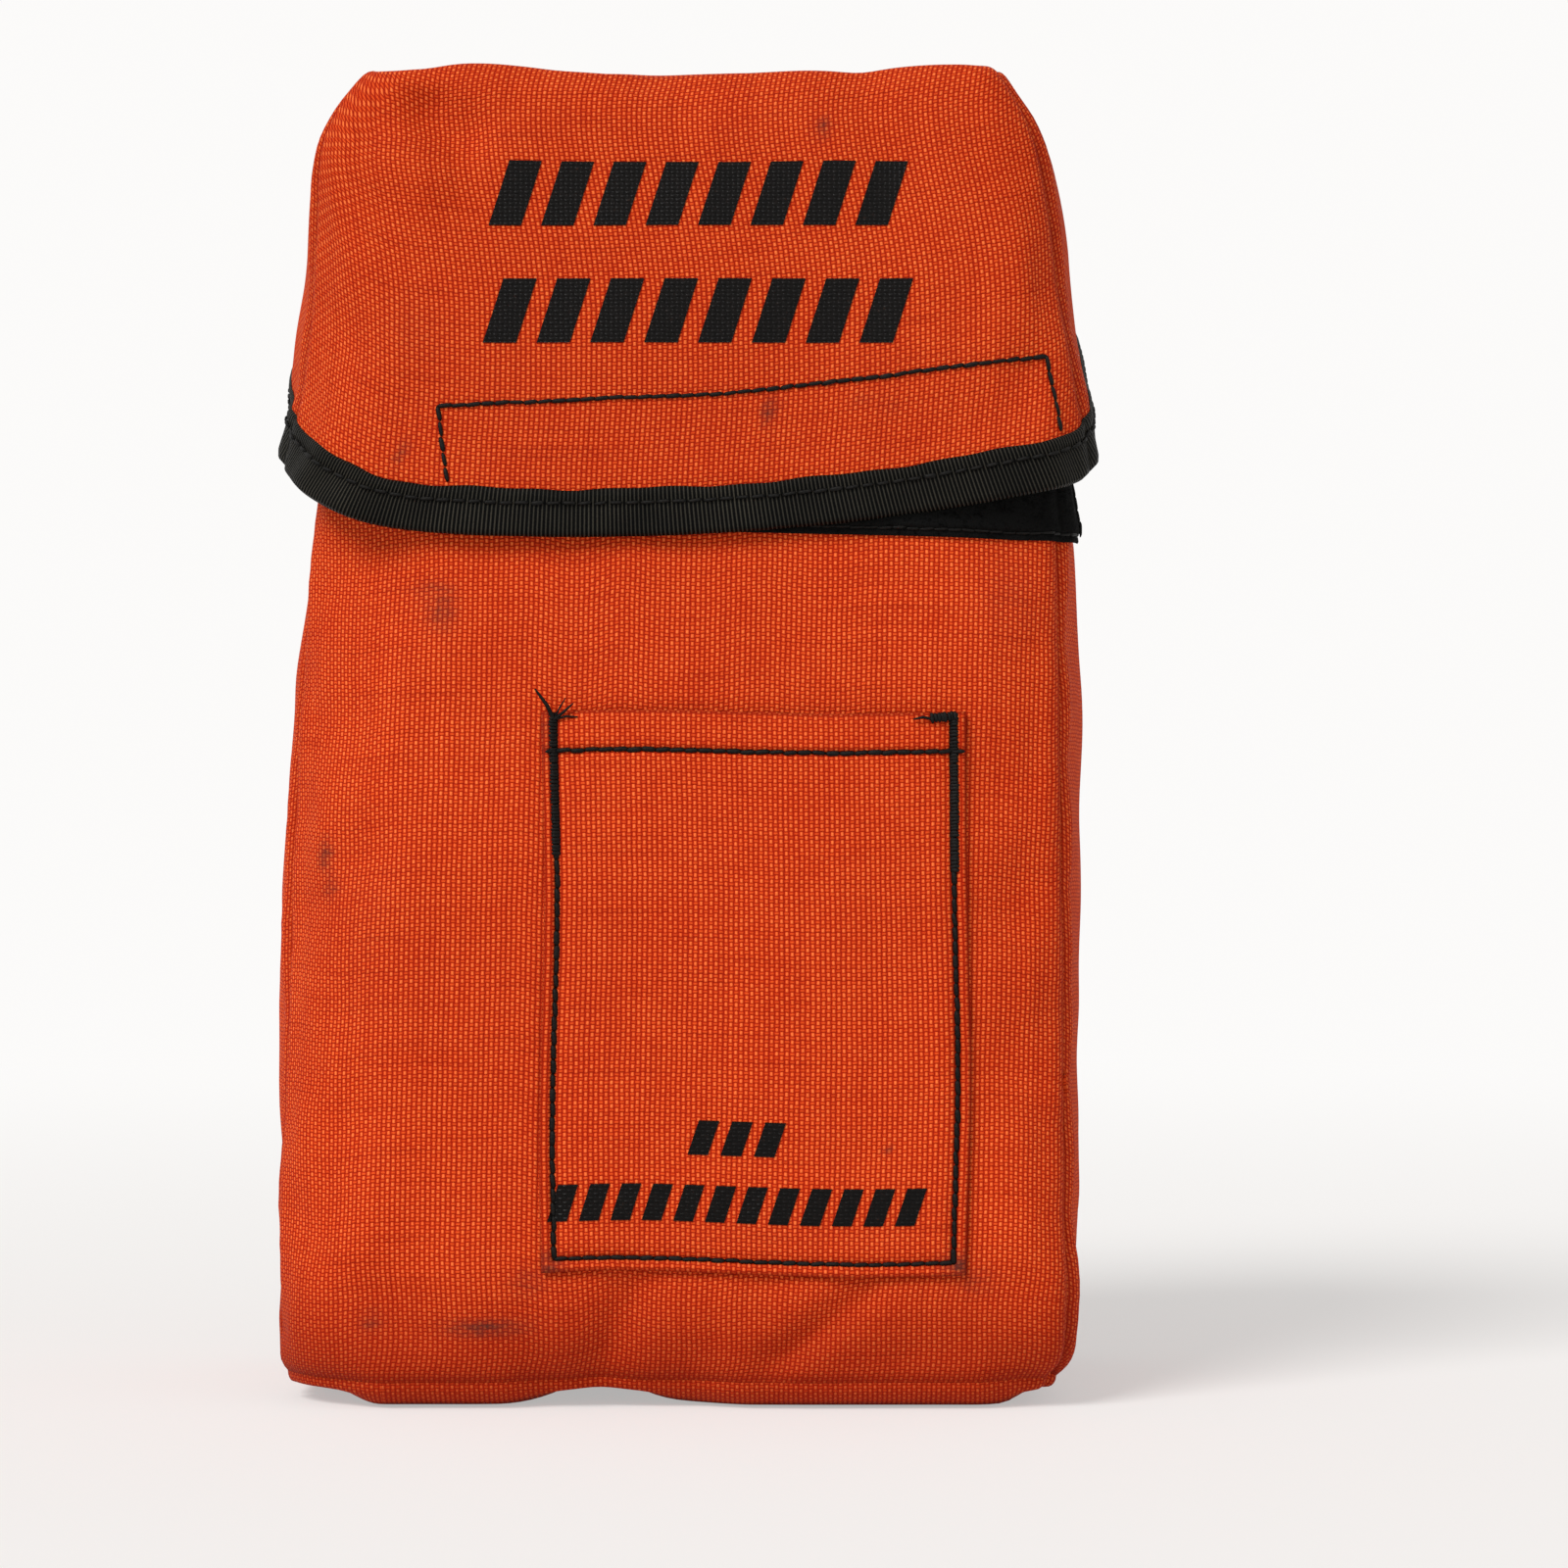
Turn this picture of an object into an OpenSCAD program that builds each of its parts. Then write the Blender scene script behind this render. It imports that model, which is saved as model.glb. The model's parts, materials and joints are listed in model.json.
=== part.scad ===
// Boxed fabric safe bag with a hooded lid, standing on its bottom.
// X runs across the front, -Y is the front, +Z is up; the origin is the centre of the base.

/* [Pouch] */
// Width across the sides near the bottom
pouch_w = 147.4; // [125:0.2:175]
// Depth from front to back near the bottom
pouch_d = 92; // [74:1:120]
// Height of the back wall, up to the fold that the lid hangs from
back_h = 243.5; // [232:0.5:290]
// Depth of the mouth's rim below the top of the back wall
mouth_drop = 28.5; // [22:0.5:38]
// How far each side draws in between the base and the mouth
side_draw = 7.4; // [0:0.2:10]
// How far the front and the back draw in between the base and the mouth
front_draw = 6; // [0:0.2:9]
// Radius of the rounding along the bottom edge
bottom_r = 16; // [8:1:18]
// Corner radius at the front left, where the wall rolls over softly
left_corner_r = 20; // [10:1:24]
// Corner radius at the front right
right_corner_r = 9; // [6:1:24]
// Radius of the two back corners
back_corner_r = 12; // [6:1:20]
// Height of the seam that joins the walls to the bottom panel
bottom_seam_z = 5; // [3:0.5:8]

/* [Fabric layers] */
// Thickness of the outer woven cloth
shell_t = 1.0; // [0.8:0.1:1.4]
// Thickness of the fireproof fibre padding
pad_t = 1.5; // [1:0.1:3]
// Thickness of the smooth fire resistant liner
liner_t = 0.6; // [0.4:0.1:1]
// Thickness of the folded binding tape on each face
tape_t = 0.5; // [0.3:0.1:0.8]
// Width of the binding tape once it is folded over an edge
tape_w = 8; // [6:0.5:11]

/* [Lid] */
// Width that the shoulders of the lid take off each side at the top
shoulder_w = 10.6; // [6:0.2:14]
// Height over which the shoulders fall away
shoulder_h = 30; // [16:1:36]
// Rounding of the edge between the top and the front of the lid
brow_r = 6; // [3:0.5:9]
// Free space between the sides of the pouch and the lid
side_gap = 2.2; // [2.2:0.1:3]
// Free space between the back wall's height and the top of the lid
top_gap = 1.0; // [0.6:0.1:2]
// Free space between the two halves of the closure
closure_gap = 0.4; // [0.3:0.05:0.8]
// Thickness of the lid's lining
lining_t = 0.8; // [0.5:0.1:1.2]
// Depth of the lid's curved front edge, at its lowest, below the top of the back wall
lid_drop = 82.8; // [64:0.2:94]
// Radius of the lid's curved front edge
lid_edge_r = 231; // [180:1:400]
// Angle at which the edges of the ears climb towards the back
ear_rise = 27; // [15:1:35]
// Distance from the ears' back edges to the fold that the lid swings on
ear_back_gap = 3; // [2:0.5:20]
// Rounding of the lower back corner of each ear
ear_corner_r = 14; // [10:1:18]
// Radius of the rolled fold that the lid swings on
fold_r = 1.6; // [1.2:0.1:2.2]

/* [Closure strips] */
// How much shorter the hook and loop tapes are than the pouch is wide
strip_short = 34.4; // [32:0.2:60]
// Height of the hook and loop tapes
strip_h = 25; // [20:1:30]
// Thickness of the loop tape with its pile
loop_t = 1.2; // [0.8:0.1:1.2]
// Thickness of the hook tape
hook_t = 1.0; // [0.7:0.1:1]
// Depth of the loop tape's lower edge below the top of the back wall
loop_drop = 83.5; // [74:0.5:94]
// Sideways place of the middle of the hook tape
hook_x = 12; // [-4:1:16]
// Depth of the middle of the hook tape below the top of the back wall
hook_drop = 66.5; // [54:0.5:72]
// Tilt of the hook tape, which follows the lid's edge
hook_tilt = 4.8; // [0:0.2:6]

/* [Pocket] */
// Width of the patch pocket
pocket_w = 77.8; // [60:0.2:90]
// Height of the patch pocket
pocket_h = 102.6; // [80:0.2:115]
// Sideways place of the middle of the pocket
pocket_x = 13.3; // [-10:0.1:16]
// Height of the pocket's lower edge
pocket_z = 25.6; // [22:0.2:36]
// Thickness of the pocket's cloth
pocket_t = 0.8; // [0.6:0.1:1.2]
// Slack between the pocket's cloth and the wall behind it
pocket_slack = 0.8; // [0.6:0.1:2]
// Width of the folded margins that are sewn to the wall
pocket_margin = 4.5; // [3:0.5:8]
// Height of the folded hem along the pocket's mouth
hem_h = 7.2; // [5:0.2:12]
// Width of the bar tacks at the pocket's mouth
tack_w = 1.9; // [1.2:0.1:3]
// Length of the bar tacks
tack_h = 25; // [12:1:35]
// Thickness of the bar tacks' thread
tack_t = 0.5; // [0.3:0.1:0.8]

/* [Hidden] */

orange = [0.78, 0.26, 0.11];
black = [0.1, 0.1, 0.09];
padding_white = [0.86, 0.85, 0.8];
liner_grey = [0.62, 0.63, 0.64];

mouth_h = back_h - mouth_drop;               // height of the mouth at the front and the sides
lid_edge_z = back_h - lid_drop;
loop_z = back_h - loop_drop;
hook_z = back_h - hook_drop;
strip_w = pouch_w - strip_short;
wall_t = shell_t + pad_t + liner_t;          // full thickness of the pouch's wall
lid_t = lining_t + shell_t;                  // full thickness of the lid
front_gap = loop_t + hook_t + closure_gap;   // pouch front to the lid's lining
reach = pouch_w;                             // longer than any cut needs
corner_steps = 6;                            // facets of each upright corner
edge_steps = 4;                              // facets of the rounded bottom edge
shoulder_steps = 4;                          // facets of the shoulders
wall_steps = 5;                              // bands of the drawn-in walls

// Half width and half depth of the drawn-in walls at height z
function half_w(z) = pouch_w / 2 - side_draw * pow(max(z, 0) / mouth_h, 2);
function half_d(z) = pouch_d / 2 - front_draw * pow(max(z, 0) / mouth_h, 2);

// One corner of a level outline: an arc about [cx, cy] that starts at angle a0
function corner(cx, cy, r, a0) =
    [for (k = [0 : corner_steps]) [cx + r * cos(a0 + 90 * k / corner_steps),
                                   cy + r * sin(a0 + 90 * k / corner_steps)]];

// Level outline with half width w, front at -yf, back at yb, grown by g
function outline(w, yf, yb, g) = concat(
    corner(w - right_corner_r, right_corner_r - yf, right_corner_r + g, 270),
    corner(w - back_corner_r, yb - back_corner_r, back_corner_r + g, 0),
    corner(back_corner_r - w, yb - back_corner_r, back_corner_r + g, 90),
    corner(left_corner_r - w, left_corner_r - yf, left_corner_r + g, 180));

// How far the brow has rolled in at a distance u below the top
function brow(u) = u >= brow_r ? 0 : brow_r - sqrt(brow_r * brow_r - pow(brow_r - u, 2));

// Rings of the soft form: [height, half width, half depth at the front, half depth at the back]
function bottom_rings(g) = [for (k = [0 : edge_steps])
    let (a = 90 * k / edge_steps, roll = bottom_r * (1 - sin(a)))
    [bottom_r - (bottom_r + g) * cos(a), half_w(0) - roll, half_d(0) - roll, half_d(0) - roll]];
function wall_rings() = [for (k = [1 : wall_steps])
    let (z = bottom_r + (back_h - shoulder_h - bottom_r) * k / wall_steps)
    [z, half_w(z), half_d(z), half_d(z)]];
function shoulder_rings(lift) = [for (k = [1 : shoulder_steps])
    let (a = 90 * k / shoulder_steps, u = shoulder_h * (1 - sin(a)), z = back_h - u)
    [z + lift * sin(a), half_w(z) - shoulder_w * (1 - cos(a)), half_d(z) - brow(u), half_d(z)]];

// The bag's soft outer form, grown outwards by g, its front moved out by ahead more,
// and its top moved up by rise
module soft_form(g, ahead = 0, rise = 0) {
    rings = concat(bottom_rings(g), wall_rings(), shoulder_rings(g + rise));
    n = 4 * (corner_steps + 1);
    last = len(rings) - 1;
    points = [for (r = rings, p = outline(r[1], r[2] + ahead, r[3], g)) [p[0], p[1], r[0]]];
    sides = [for (i = [0 : last - 1], j = [0 : n - 1])
        let (a = i * n + j, b = i * n + (j + 1) % n)
        each [[a, a + n, b + n], [a, b + n, b]]];
    base = [[for (j = [0 : n - 1]) j]];
    top = [[for (j = [n - 1 : -1 : 0]) last * n + j]];
    polyhedron(points = points, faces = concat(base, sides, top), convexity = 4);
}

// A layer of cloth between two offsets of the soft form
module layer(outer, inner, ahead = 0, rise = 0) {
    difference() {
        soft_form(outer, ahead, rise);
        soft_form(inner, ahead, rise);
    }
}

// Seams run down the four upright corners, on planes at 45 degrees to the walls
seam_ref_z = mouth_h / 2;
seam_in = shoulder_w + side_gap;              // how far inwards the shoulders carry a seam
function seam_line(cx, cy, sx, sy) = [[cx - sx * seam_in, cy - sy * seam_in],
                                      [cx + sx * reach, cy + sy * reach]];
function front_left(ahead) = seam_line(left_corner_r - half_w(seam_ref_z),
                                       left_corner_r - half_d(seam_ref_z) - ahead, -1, -1);
function front_right(ahead) = seam_line(half_w(seam_ref_z) - right_corner_r,
                                        right_corner_r - half_d(seam_ref_z) - ahead, 1, -1);
function back_left() = seam_line(back_corner_r - half_w(seam_ref_z),
                                 half_d(seam_ref_z) - back_corner_r, -1, 1);
function back_right() = seam_line(half_w(seam_ref_z) - back_corner_r,
                                  half_d(seam_ref_z) - back_corner_r, 1, 1);
function between(a, b) = [a[0], a[1], b[1], b[0]];

// The upright block between two seams, from z0 to z1
module side_block(a, b, z0, z1) {
    translate([0, 0, z0]) linear_extrude(height = z1 - z0) polygon(between(a, b));
}

module front_block(z0, z1, ahead = 0) { side_block(front_left(ahead), front_right(ahead), z0, z1); }
module back_block(z0, z1) { side_block(back_right(), back_left(), z0, z1); }
module left_block(z0, z1, ahead = 0) { side_block(back_left(), front_left(ahead), z0, z1); }
module right_block(z0, z1, ahead = 0) { side_block(front_right(ahead), back_right(), z0, z1); }
module floor_block(z1) {
    translate([-reach, -reach, -reach]) cube([2 * reach, 2 * reach, reach + z1]);
}

// ---- Pouch: cloth, padding and liner, each sewn from five panels ----

module front_panel() {
    color(orange) intersection() {
        layer(0, -shell_t);
        front_block(bottom_seam_z, mouth_h);
    }
}

// The cloth of the back runs on above the mouth, up to the fold that carries the lid
module back_panel() {
    color(orange) intersection() {
        difference() {
            soft_form(0);
            soft_form(-shell_t, rise = 2 * shell_t);
        }
        back_block(bottom_seam_z, back_h);
    }
}

module left_gusset() {
    color(orange) intersection() {
        layer(0, -shell_t);
        left_block(bottom_seam_z, mouth_h);
    }
}

module right_gusset() {
    color(orange) intersection() {
        layer(0, -shell_t);
        right_block(bottom_seam_z, mouth_h);
    }
}

module bottom_panel() {
    color(orange) intersection() {
        layer(0, -shell_t);
        floor_block(bottom_seam_z);
    }
}

pad_out = -shell_t;
pad_in = pad_out - pad_t;

module front_padding() {
    color(padding_white) intersection() {
        layer(pad_out, pad_in);
        front_block(bottom_seam_z, mouth_h);
    }
}

module back_padding() {
    color(padding_white) intersection() {
        layer(pad_out, pad_in);
        back_block(bottom_seam_z, mouth_h);
    }
}

module left_padding() {
    color(padding_white) intersection() {
        layer(pad_out, pad_in);
        left_block(bottom_seam_z, mouth_h);
    }
}

module right_padding() {
    color(padding_white) intersection() {
        layer(pad_out, pad_in);
        right_block(bottom_seam_z, mouth_h);
    }
}

module bottom_padding() {
    color(padding_white) intersection() {
        layer(pad_out, pad_in);
        floor_block(bottom_seam_z);
    }
}

liner_in = pad_in - liner_t;

module front_liner() {
    color(liner_grey) intersection() {
        layer(pad_in, liner_in);
        front_block(bottom_seam_z, mouth_h);
    }
}

module back_liner() {
    color(liner_grey) intersection() {
        layer(pad_in, liner_in);
        back_block(bottom_seam_z, mouth_h);
    }
}

module left_liner() {
    color(liner_grey) intersection() {
        layer(pad_in, liner_in);
        left_block(bottom_seam_z, mouth_h);
    }
}

module right_liner() {
    color(liner_grey) intersection() {
        layer(pad_in, liner_in);
        right_block(bottom_seam_z, mouth_h);
    }
}

module bottom_liner() {
    color(liner_grey) intersection() {
        layer(pad_in, liner_in);
        floor_block(bottom_seam_z);
    }
}

// Folded tape over the raw edge of the mouth, from back seam to back seam
module mouth_binding() {
    color(black) difference() {
        intersection() {
            layer(tape_t, -wall_t - tape_t);
            union() {
                front_block(mouth_h - tape_w, mouth_h + tape_t);
                left_block(mouth_h - tape_w, mouth_h + tape_t);
                right_block(mouth_h - tape_w, mouth_h + tape_t);
            }
        }
        intersection() {
            layer(0, -wall_t);
            floor_block(mouth_h);
        }
    }
}

// ---- Front of the pouch ----

// Cloth of thickness t that lies on the front wall, lift above it, cut to the shape
// of its children, which are drawn in the plane of the front (X across, Y up)
module on_front(lift, t) {
    intersection() {
        layer(lift + t, lift);
        rotate([90, 0, 0]) linear_extrude(height = reach) children();
    }
}

// The loop tape ends where the right corner has turned to the side
module loop_strip() {
    strip_end = half_w(loop_z) + loop_t;
    color(black) intersection() {
        on_front(0, loop_t) translate([strip_end - strip_w, loop_z]) square([strip_w, strip_h]);
        translate([-reach, -reach, 0])
            cube([2 * reach, reach + right_corner_r - half_d(loop_z), back_h]);
    }
}

module pocket_outline(inset, top) {
    translate([pocket_x - pocket_w / 2 + inset, pocket_z + inset])
        square([pocket_w - 2 * inset, pocket_h - inset - top]);
}

module pocket_patch() {
    color(orange) on_front(pocket_slack, pocket_t) pocket_outline(0, 0);
}

// The folded edges under the sides and the bottom of the pocket
module pocket_margins() {
    color(orange) on_front(0, pocket_slack) difference() {
        pocket_outline(0, 0);
        translate([0, pocket_margin / 2]) pocket_outline(pocket_margin, -pocket_margin);
    }
}

// The hem is folded back behind the cloth along the pocket's mouth
module pocket_hem() {
    hem_t = pocket_slack / 2;
    color(orange) on_front(pocket_slack - hem_t, hem_t)
        translate([pocket_x - pocket_w / 2 + pocket_margin, pocket_z + pocket_h - hem_h])
            square([pocket_w - 2 * pocket_margin, hem_h]);
}

module pocket_bar_tacks() {
    tack_inset = pocket_margin / 2;
    color(black) on_front(pocket_slack + pocket_t, tack_t)
        for (side = [-1, 1])
            translate([pocket_x + side * (pocket_w / 2 - tack_inset) - tack_w / 2,
                       pocket_z + pocket_h - tack_h])
                square([tack_w, tack_h]);
}

// ---- Lid ----

lid_ahead = front_gap - side_gap;
lid_rise = top_gap - side_gap;
lid_in = side_gap;
lid_mid = side_gap + lining_t;
lid_out = side_gap + lid_t;
lid_top_z = back_h + top_gap + lid_t;
fold_z = back_h + top_gap + lid_t / 2;
fold_y = half_d(back_h) - shell_t / 2;
tip_x = half_w(back_h) - shoulder_w;          // half the width of the flat top

function lid_edge(x) = lid_edge_z + lid_edge_r - sqrt(lid_edge_r * lid_edge_r - x * x);
ear_front_y = -half_d(mouth_h) - front_gap - lid_t;
ear_back_y = fold_y - ear_back_gap;
ear_front_z = lid_edge(half_w(mouth_h));
function ear_line(y) = ear_front_z + (y - ear_front_y) * tan(ear_rise);

// Side view of an ear, drawn with Y across and Z up: above the climbing edge and in
// front of the back edge, both moved in by inset
module ear_outline(inset) {
    cy = ear_back_y - ear_corner_r;
    cz = ear_line(cy) + ear_corner_r / cos(ear_rise);
    r = ear_corner_r - inset;
    arc = [for (k = [0 : corner_steps])
        let (a = (ear_rise - 90) * (1 - k / corner_steps)) [cy + r * cos(a), cz + r * sin(a)]];
    far = arc[0] - reach * [cos(ear_rise), sin(ear_rise)];
    polygon(concat([far], arc, [[ear_back_y - inset, back_h + reach], [far[0], back_h + reach]]));
}

module ear_zone(inset) {
    rotate([90, 0, 90]) translate([0, 0, -reach]) linear_extrude(height = 2 * reach)
        ear_outline(inset);
}

// Everything above the curved front edge, moved in by inset
module front_zone(inset) {
    translate([0, 0, lid_edge_z + lid_edge_r]) rotate([90, 0, 0])
        cylinder(r = lid_edge_r - inset, h = 2 * reach, center = true, $fn = 180);
}

// The top panel's share of the lid: its seams leave the brow and the tips at 45 degrees
module top_zone() {
    brow_y = brow_r - half_d(back_h) - lid_ahead;
    brow_z = back_h - brow_r;
    tip_z = back_h - side_gap;
    intersection() {
        rotate([90, 0, 90]) translate([0, 0, -reach]) linear_extrude(height = 2 * reach)
            polygon([[brow_y, brow_z], [fold_y, brow_z], [fold_y, back_h + reach],
                     [brow_y - reach, brow_z + reach]]);
        rotate([90, 0, 0]) translate([0, 0, -reach]) linear_extrude(height = 2 * reach)
            polygon([[-tip_x, tip_z], [tip_x, tip_z],
                     [tip_x + reach, tip_z + reach], [-tip_x - reach, tip_z + reach]]);
    }
}

module fold_roll(grow) {
    translate([0, fold_y, fold_z]) rotate([0, 90, 0])
        cylinder(r = fold_r + grow, h = 2 * tip_x, center = true, $fn = 48);
}

module top_share(outer, inner) {
    difference() {
        intersection() {
            layer(outer, inner, lid_ahead, lid_rise);
            top_zone();
        }
        fold_roll(0);
    }
}

module front_share(outer, inner) {
    difference() {
        intersection() {
            layer(outer, inner, lid_ahead, lid_rise);
            front_block(0, lid_top_z + reach, lid_ahead);
            front_zone(tape_t);
        }
        top_zone();
    }
}

module left_share(outer, inner) {
    difference() {
        intersection() {
            layer(outer, inner, lid_ahead, lid_rise);
            left_block(0, lid_top_z + reach, lid_ahead);
            ear_zone(tape_t);
        }
        top_zone();
    }
}

module right_share(outer, inner) {
    difference() {
        intersection() {
            layer(outer, inner, lid_ahead, lid_rise);
            right_block(0, lid_top_z + reach, lid_ahead);
            ear_zone(tape_t);
        }
        top_zone();
    }
}

module lid_top() { color(orange) top_share(lid_out, lid_mid); }
module lid_front() { color(orange) front_share(lid_out, lid_mid); }
module lid_left_ear() { color(orange) left_share(lid_out, lid_mid); }
module lid_right_ear() { color(orange) right_share(lid_out, lid_mid); }
module lid_top_lining() { color(orange) top_share(lid_mid, lid_in); }
module lid_front_lining() { color(orange) front_share(lid_mid, lid_in); }
module lid_left_ear_lining() { color(orange) left_share(lid_mid, lid_in); }
module lid_right_ear_lining() { color(orange) right_share(lid_mid, lid_in); }

// The hook tape is sewn inside the lid's front, just above its binding and between its seams
module hook_strip() {
    color(black) intersection() {
        layer(lid_in, lid_in - hook_t, lid_ahead, lid_rise);
        front_block(0, back_h, lid_ahead);
        front_zone(tape_w + closure_gap);
        rotate([90, 0, 0]) linear_extrude(height = reach)
            translate([hook_x, hook_z]) rotate(hook_tilt)
                square([strip_w, strip_h], center = true);
    }
}

// The tape that is folded over the lid's edge: its children are a block of the lid and
// three zones, which are the block's outline moved in by 0, tape_t and tape_w
module folded_tape() {
    difference() {
        intersection() {
            layer(lid_out + tape_t, lid_in - tape_t, lid_ahead, lid_rise);
            children(0);
            children(1);
        }
        intersection() {
            layer(lid_out, lid_in, lid_ahead, lid_rise);
            children(2);
        }
        children(3);
        top_zone();
    }
}

// One tape runs along the front edge and round both ears
module lid_binding() {
    color(black) {
        folded_tape() {
            front_block(0, lid_top_z + reach, lid_ahead);
            front_zone(0);
            front_zone(tape_t);
            front_zone(tape_w);
        }
        folded_tape() {
            left_block(0, lid_top_z + reach, lid_ahead);
            ear_zone(0);
            ear_zone(tape_t);
            ear_zone(tape_w);
        }
        folded_tape() {
            right_block(0, lid_top_z + reach, lid_ahead);
            ear_zone(0);
            ear_zone(tape_t);
            ear_zone(tape_w);
        }
    }
}

module hinge_fold() { color(orange) fold_roll(0); }

front_panel();
back_panel();
left_gusset();
right_gusset();
bottom_panel();
front_padding();
back_padding();
left_padding();
right_padding();
bottom_padding();
front_liner();
back_liner();
left_liner();
right_liner();
bottom_liner();
mouth_binding();
loop_strip();
pocket_patch();
pocket_margins();
pocket_hem();
pocket_bar_tacks();
lid_top();
lid_front();
lid_left_ear();
lid_right_ear();
lid_top_lining();
lid_front_lining();
lid_left_ear_lining();
lid_right_ear_lining();
hook_strip();
lid_binding();
hinge_fold();
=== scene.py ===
import json
import math

import bpy
import numpy as np
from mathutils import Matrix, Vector, noise


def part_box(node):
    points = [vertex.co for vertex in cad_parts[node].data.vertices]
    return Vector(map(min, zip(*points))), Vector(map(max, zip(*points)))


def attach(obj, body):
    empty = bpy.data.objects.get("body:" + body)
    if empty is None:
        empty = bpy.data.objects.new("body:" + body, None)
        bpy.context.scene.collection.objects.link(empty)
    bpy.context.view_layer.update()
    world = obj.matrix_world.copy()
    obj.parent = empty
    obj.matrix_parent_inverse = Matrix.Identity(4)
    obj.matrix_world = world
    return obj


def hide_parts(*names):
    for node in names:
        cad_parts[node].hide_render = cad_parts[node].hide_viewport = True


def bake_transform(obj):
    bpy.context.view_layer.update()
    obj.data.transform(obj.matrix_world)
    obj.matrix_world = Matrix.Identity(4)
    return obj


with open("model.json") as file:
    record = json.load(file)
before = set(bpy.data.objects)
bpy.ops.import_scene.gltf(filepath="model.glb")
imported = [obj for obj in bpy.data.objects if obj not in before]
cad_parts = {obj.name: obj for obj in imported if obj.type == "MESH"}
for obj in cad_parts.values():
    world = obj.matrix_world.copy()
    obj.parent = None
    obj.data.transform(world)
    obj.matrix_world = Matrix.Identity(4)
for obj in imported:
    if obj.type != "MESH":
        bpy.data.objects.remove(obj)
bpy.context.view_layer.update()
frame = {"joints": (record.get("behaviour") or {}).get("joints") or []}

MM = 0.001


# ---- Sizes, all in mm, worked out from the frame ----

def node_box(name):
    low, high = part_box(name)
    return np.array(low) / MM, np.array(high) / MM


HALF_W = (node_box("right_gusset")[1][0] - node_box("left_gusset")[0][0]) / 2
HALF_D = -node_box("front_panel")[0][1]
SEAM_Z = node_box("front_panel")[0][2]
MOUTH_Z = node_box("front_panel")[1][2]
FOLD_Y = frame["joints"][0]["pos_m"][1] / MM
FOLD_Z = frame["joints"][0]["pos_m"][2] / MM
TOP_Z = node_box("lid_top")[1][2]
LID_LOW_Z = node_box("lid_front")[0][2]
EAR_BACK_Y = node_box("lid_left_ear")[1][1]
STRIP_LOW, STRIP_HIGH = node_box("loop_strip")
POCKET_LOW, POCKET_HIGH = node_box("pocket_patch")

BOTTOM_R = 16.0                       # rounding of the bottom edge, front and back
LEFT_R, RIGHT_R = 7.6, 13.0           # and at the sides
SIDE_DRAW = 8.3                       # how far the left side draws in up to the mouth
FRONT_DRAW = 6.0                      # how far the front and the back draw in
CORNERS = (9.0, 12.0, 12.0, 20.0)     # front right, back right, back left, front left
SHOULDER = 7.2                        # how far the lid's sides fall in at the top
BROW = 5.0                            # rounding from the lid's front to its top
TAPE_W = 8.0                          # width of the folded binding
FOLDED_TAPE = 0.45                    # and the thickness of its tape
SHELL, PAD, LINER, LINING = 1.0, 1.4, 0.5, 0.7     # thicknesses of the layers
WEAVE_X, WEAVE_Z = 0.93, 0.73         # thread spacing of the orange cloth
NEAR = 1e-4                           # columns this close to a seam belong to it

# How the cloth is let settle into its swell
SETTLE_GRID = 4.6                     # spacing of the simulated sheet
SETTLE_FRAMES = 20
CLOTH_STIFFNESS = {"tension_stiffness": 25, "compression_stiffness": 25,
                   "shear_stiffness": 8, "bending_stiffness": 3}
CUT_TOO_LARGE = -0.012                # share by which the sheet is cut larger than its place
PADDING_PRESSURE = 4
POUCH_SWELL, LID_SWELL = 2.6, 1.6     # the most that the cloth moves by settling


# ---- Small helpers ----

def smooth(t):
    t = np.clip(t, 0, 1)
    return t * t * (3 - 2 * t)


def bump(x, middle, width):
    return np.exp(-((x - middle) / width) ** 2)


def rumple(points, size, seed):
    """Smooth noise from -1 to 1 at each point, with lumps about size mm across."""
    flat = np.asarray(points).reshape(-1, 3) / size + seed
    return np.array([noise.noise(Vector(p)) for p in flat]).reshape(np.shape(points)[:-1])


def crease(x, z, start, end, width, depth):
    """A valley along the line from start to end that dies away at both ends."""
    (x0, z0), (x1, z1) = start, end
    dx, dz = x1 - x0, z1 - z0
    along = ((x - x0) * dx + (z - z0) * dz) / (dx * dx + dz * dz)
    aside = ((x - x0) * dz - (z - z0) * dx) / math.hypot(dx, dz)
    fade = smooth(along * 2 + 0.35) * smooth((1 - along) * 2 + 0.35)
    valley = bump(aside, 0, width) - 0.45 * bump(aside, 2.1 * width, 1.4 * width)
    return -depth * fade * valley


def creases(x, z, lines):
    """Several creases; each line has its start, its end, its width and its depth."""
    return sum(crease(x, z, *line) for line in lines)


def lengths_along(points, axis):
    """Running length over a grid of points, along one of its axes."""
    steps = np.linalg.norm(np.diff(points, axis=axis), axis=-1)
    start = np.zeros_like(np.take(steps, [0], axis=axis))
    return np.concatenate([start, np.cumsum(steps, axis=axis)], axis=axis)


def run_of(path):
    """Running length along a line of flat points."""
    return np.concatenate([[0], np.cumsum(np.hypot(*np.diff(np.array(path), axis=0).T))])


def read_at(where, run, points):
    """Points read between the given ones, at places along their running length."""
    return np.stack([np.interp(where, run, column) for column in np.asarray(points).T], axis=-1)


def even_out(rows):
    """Averages each row with its neighbours, in place."""
    rows[1:-1] = (rows[:-2] + 2 * rows[1:-1] + rows[2:]) / 4


def within(s, a, b):
    return s[(s >= a - NEAR) & (s <= b + NEAR)]


def weave_map(points, middle_column):
    """Flat cloth coordinates of a grid, in metres, from the lengths along its threads."""
    across = lengths_along(points, 1)
    across = across - across[:, [middle_column]]
    return np.stack([across, lengths_along(points, 0)], axis=-1) * MM


# ---- The level outline that every wall follows ----

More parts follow.
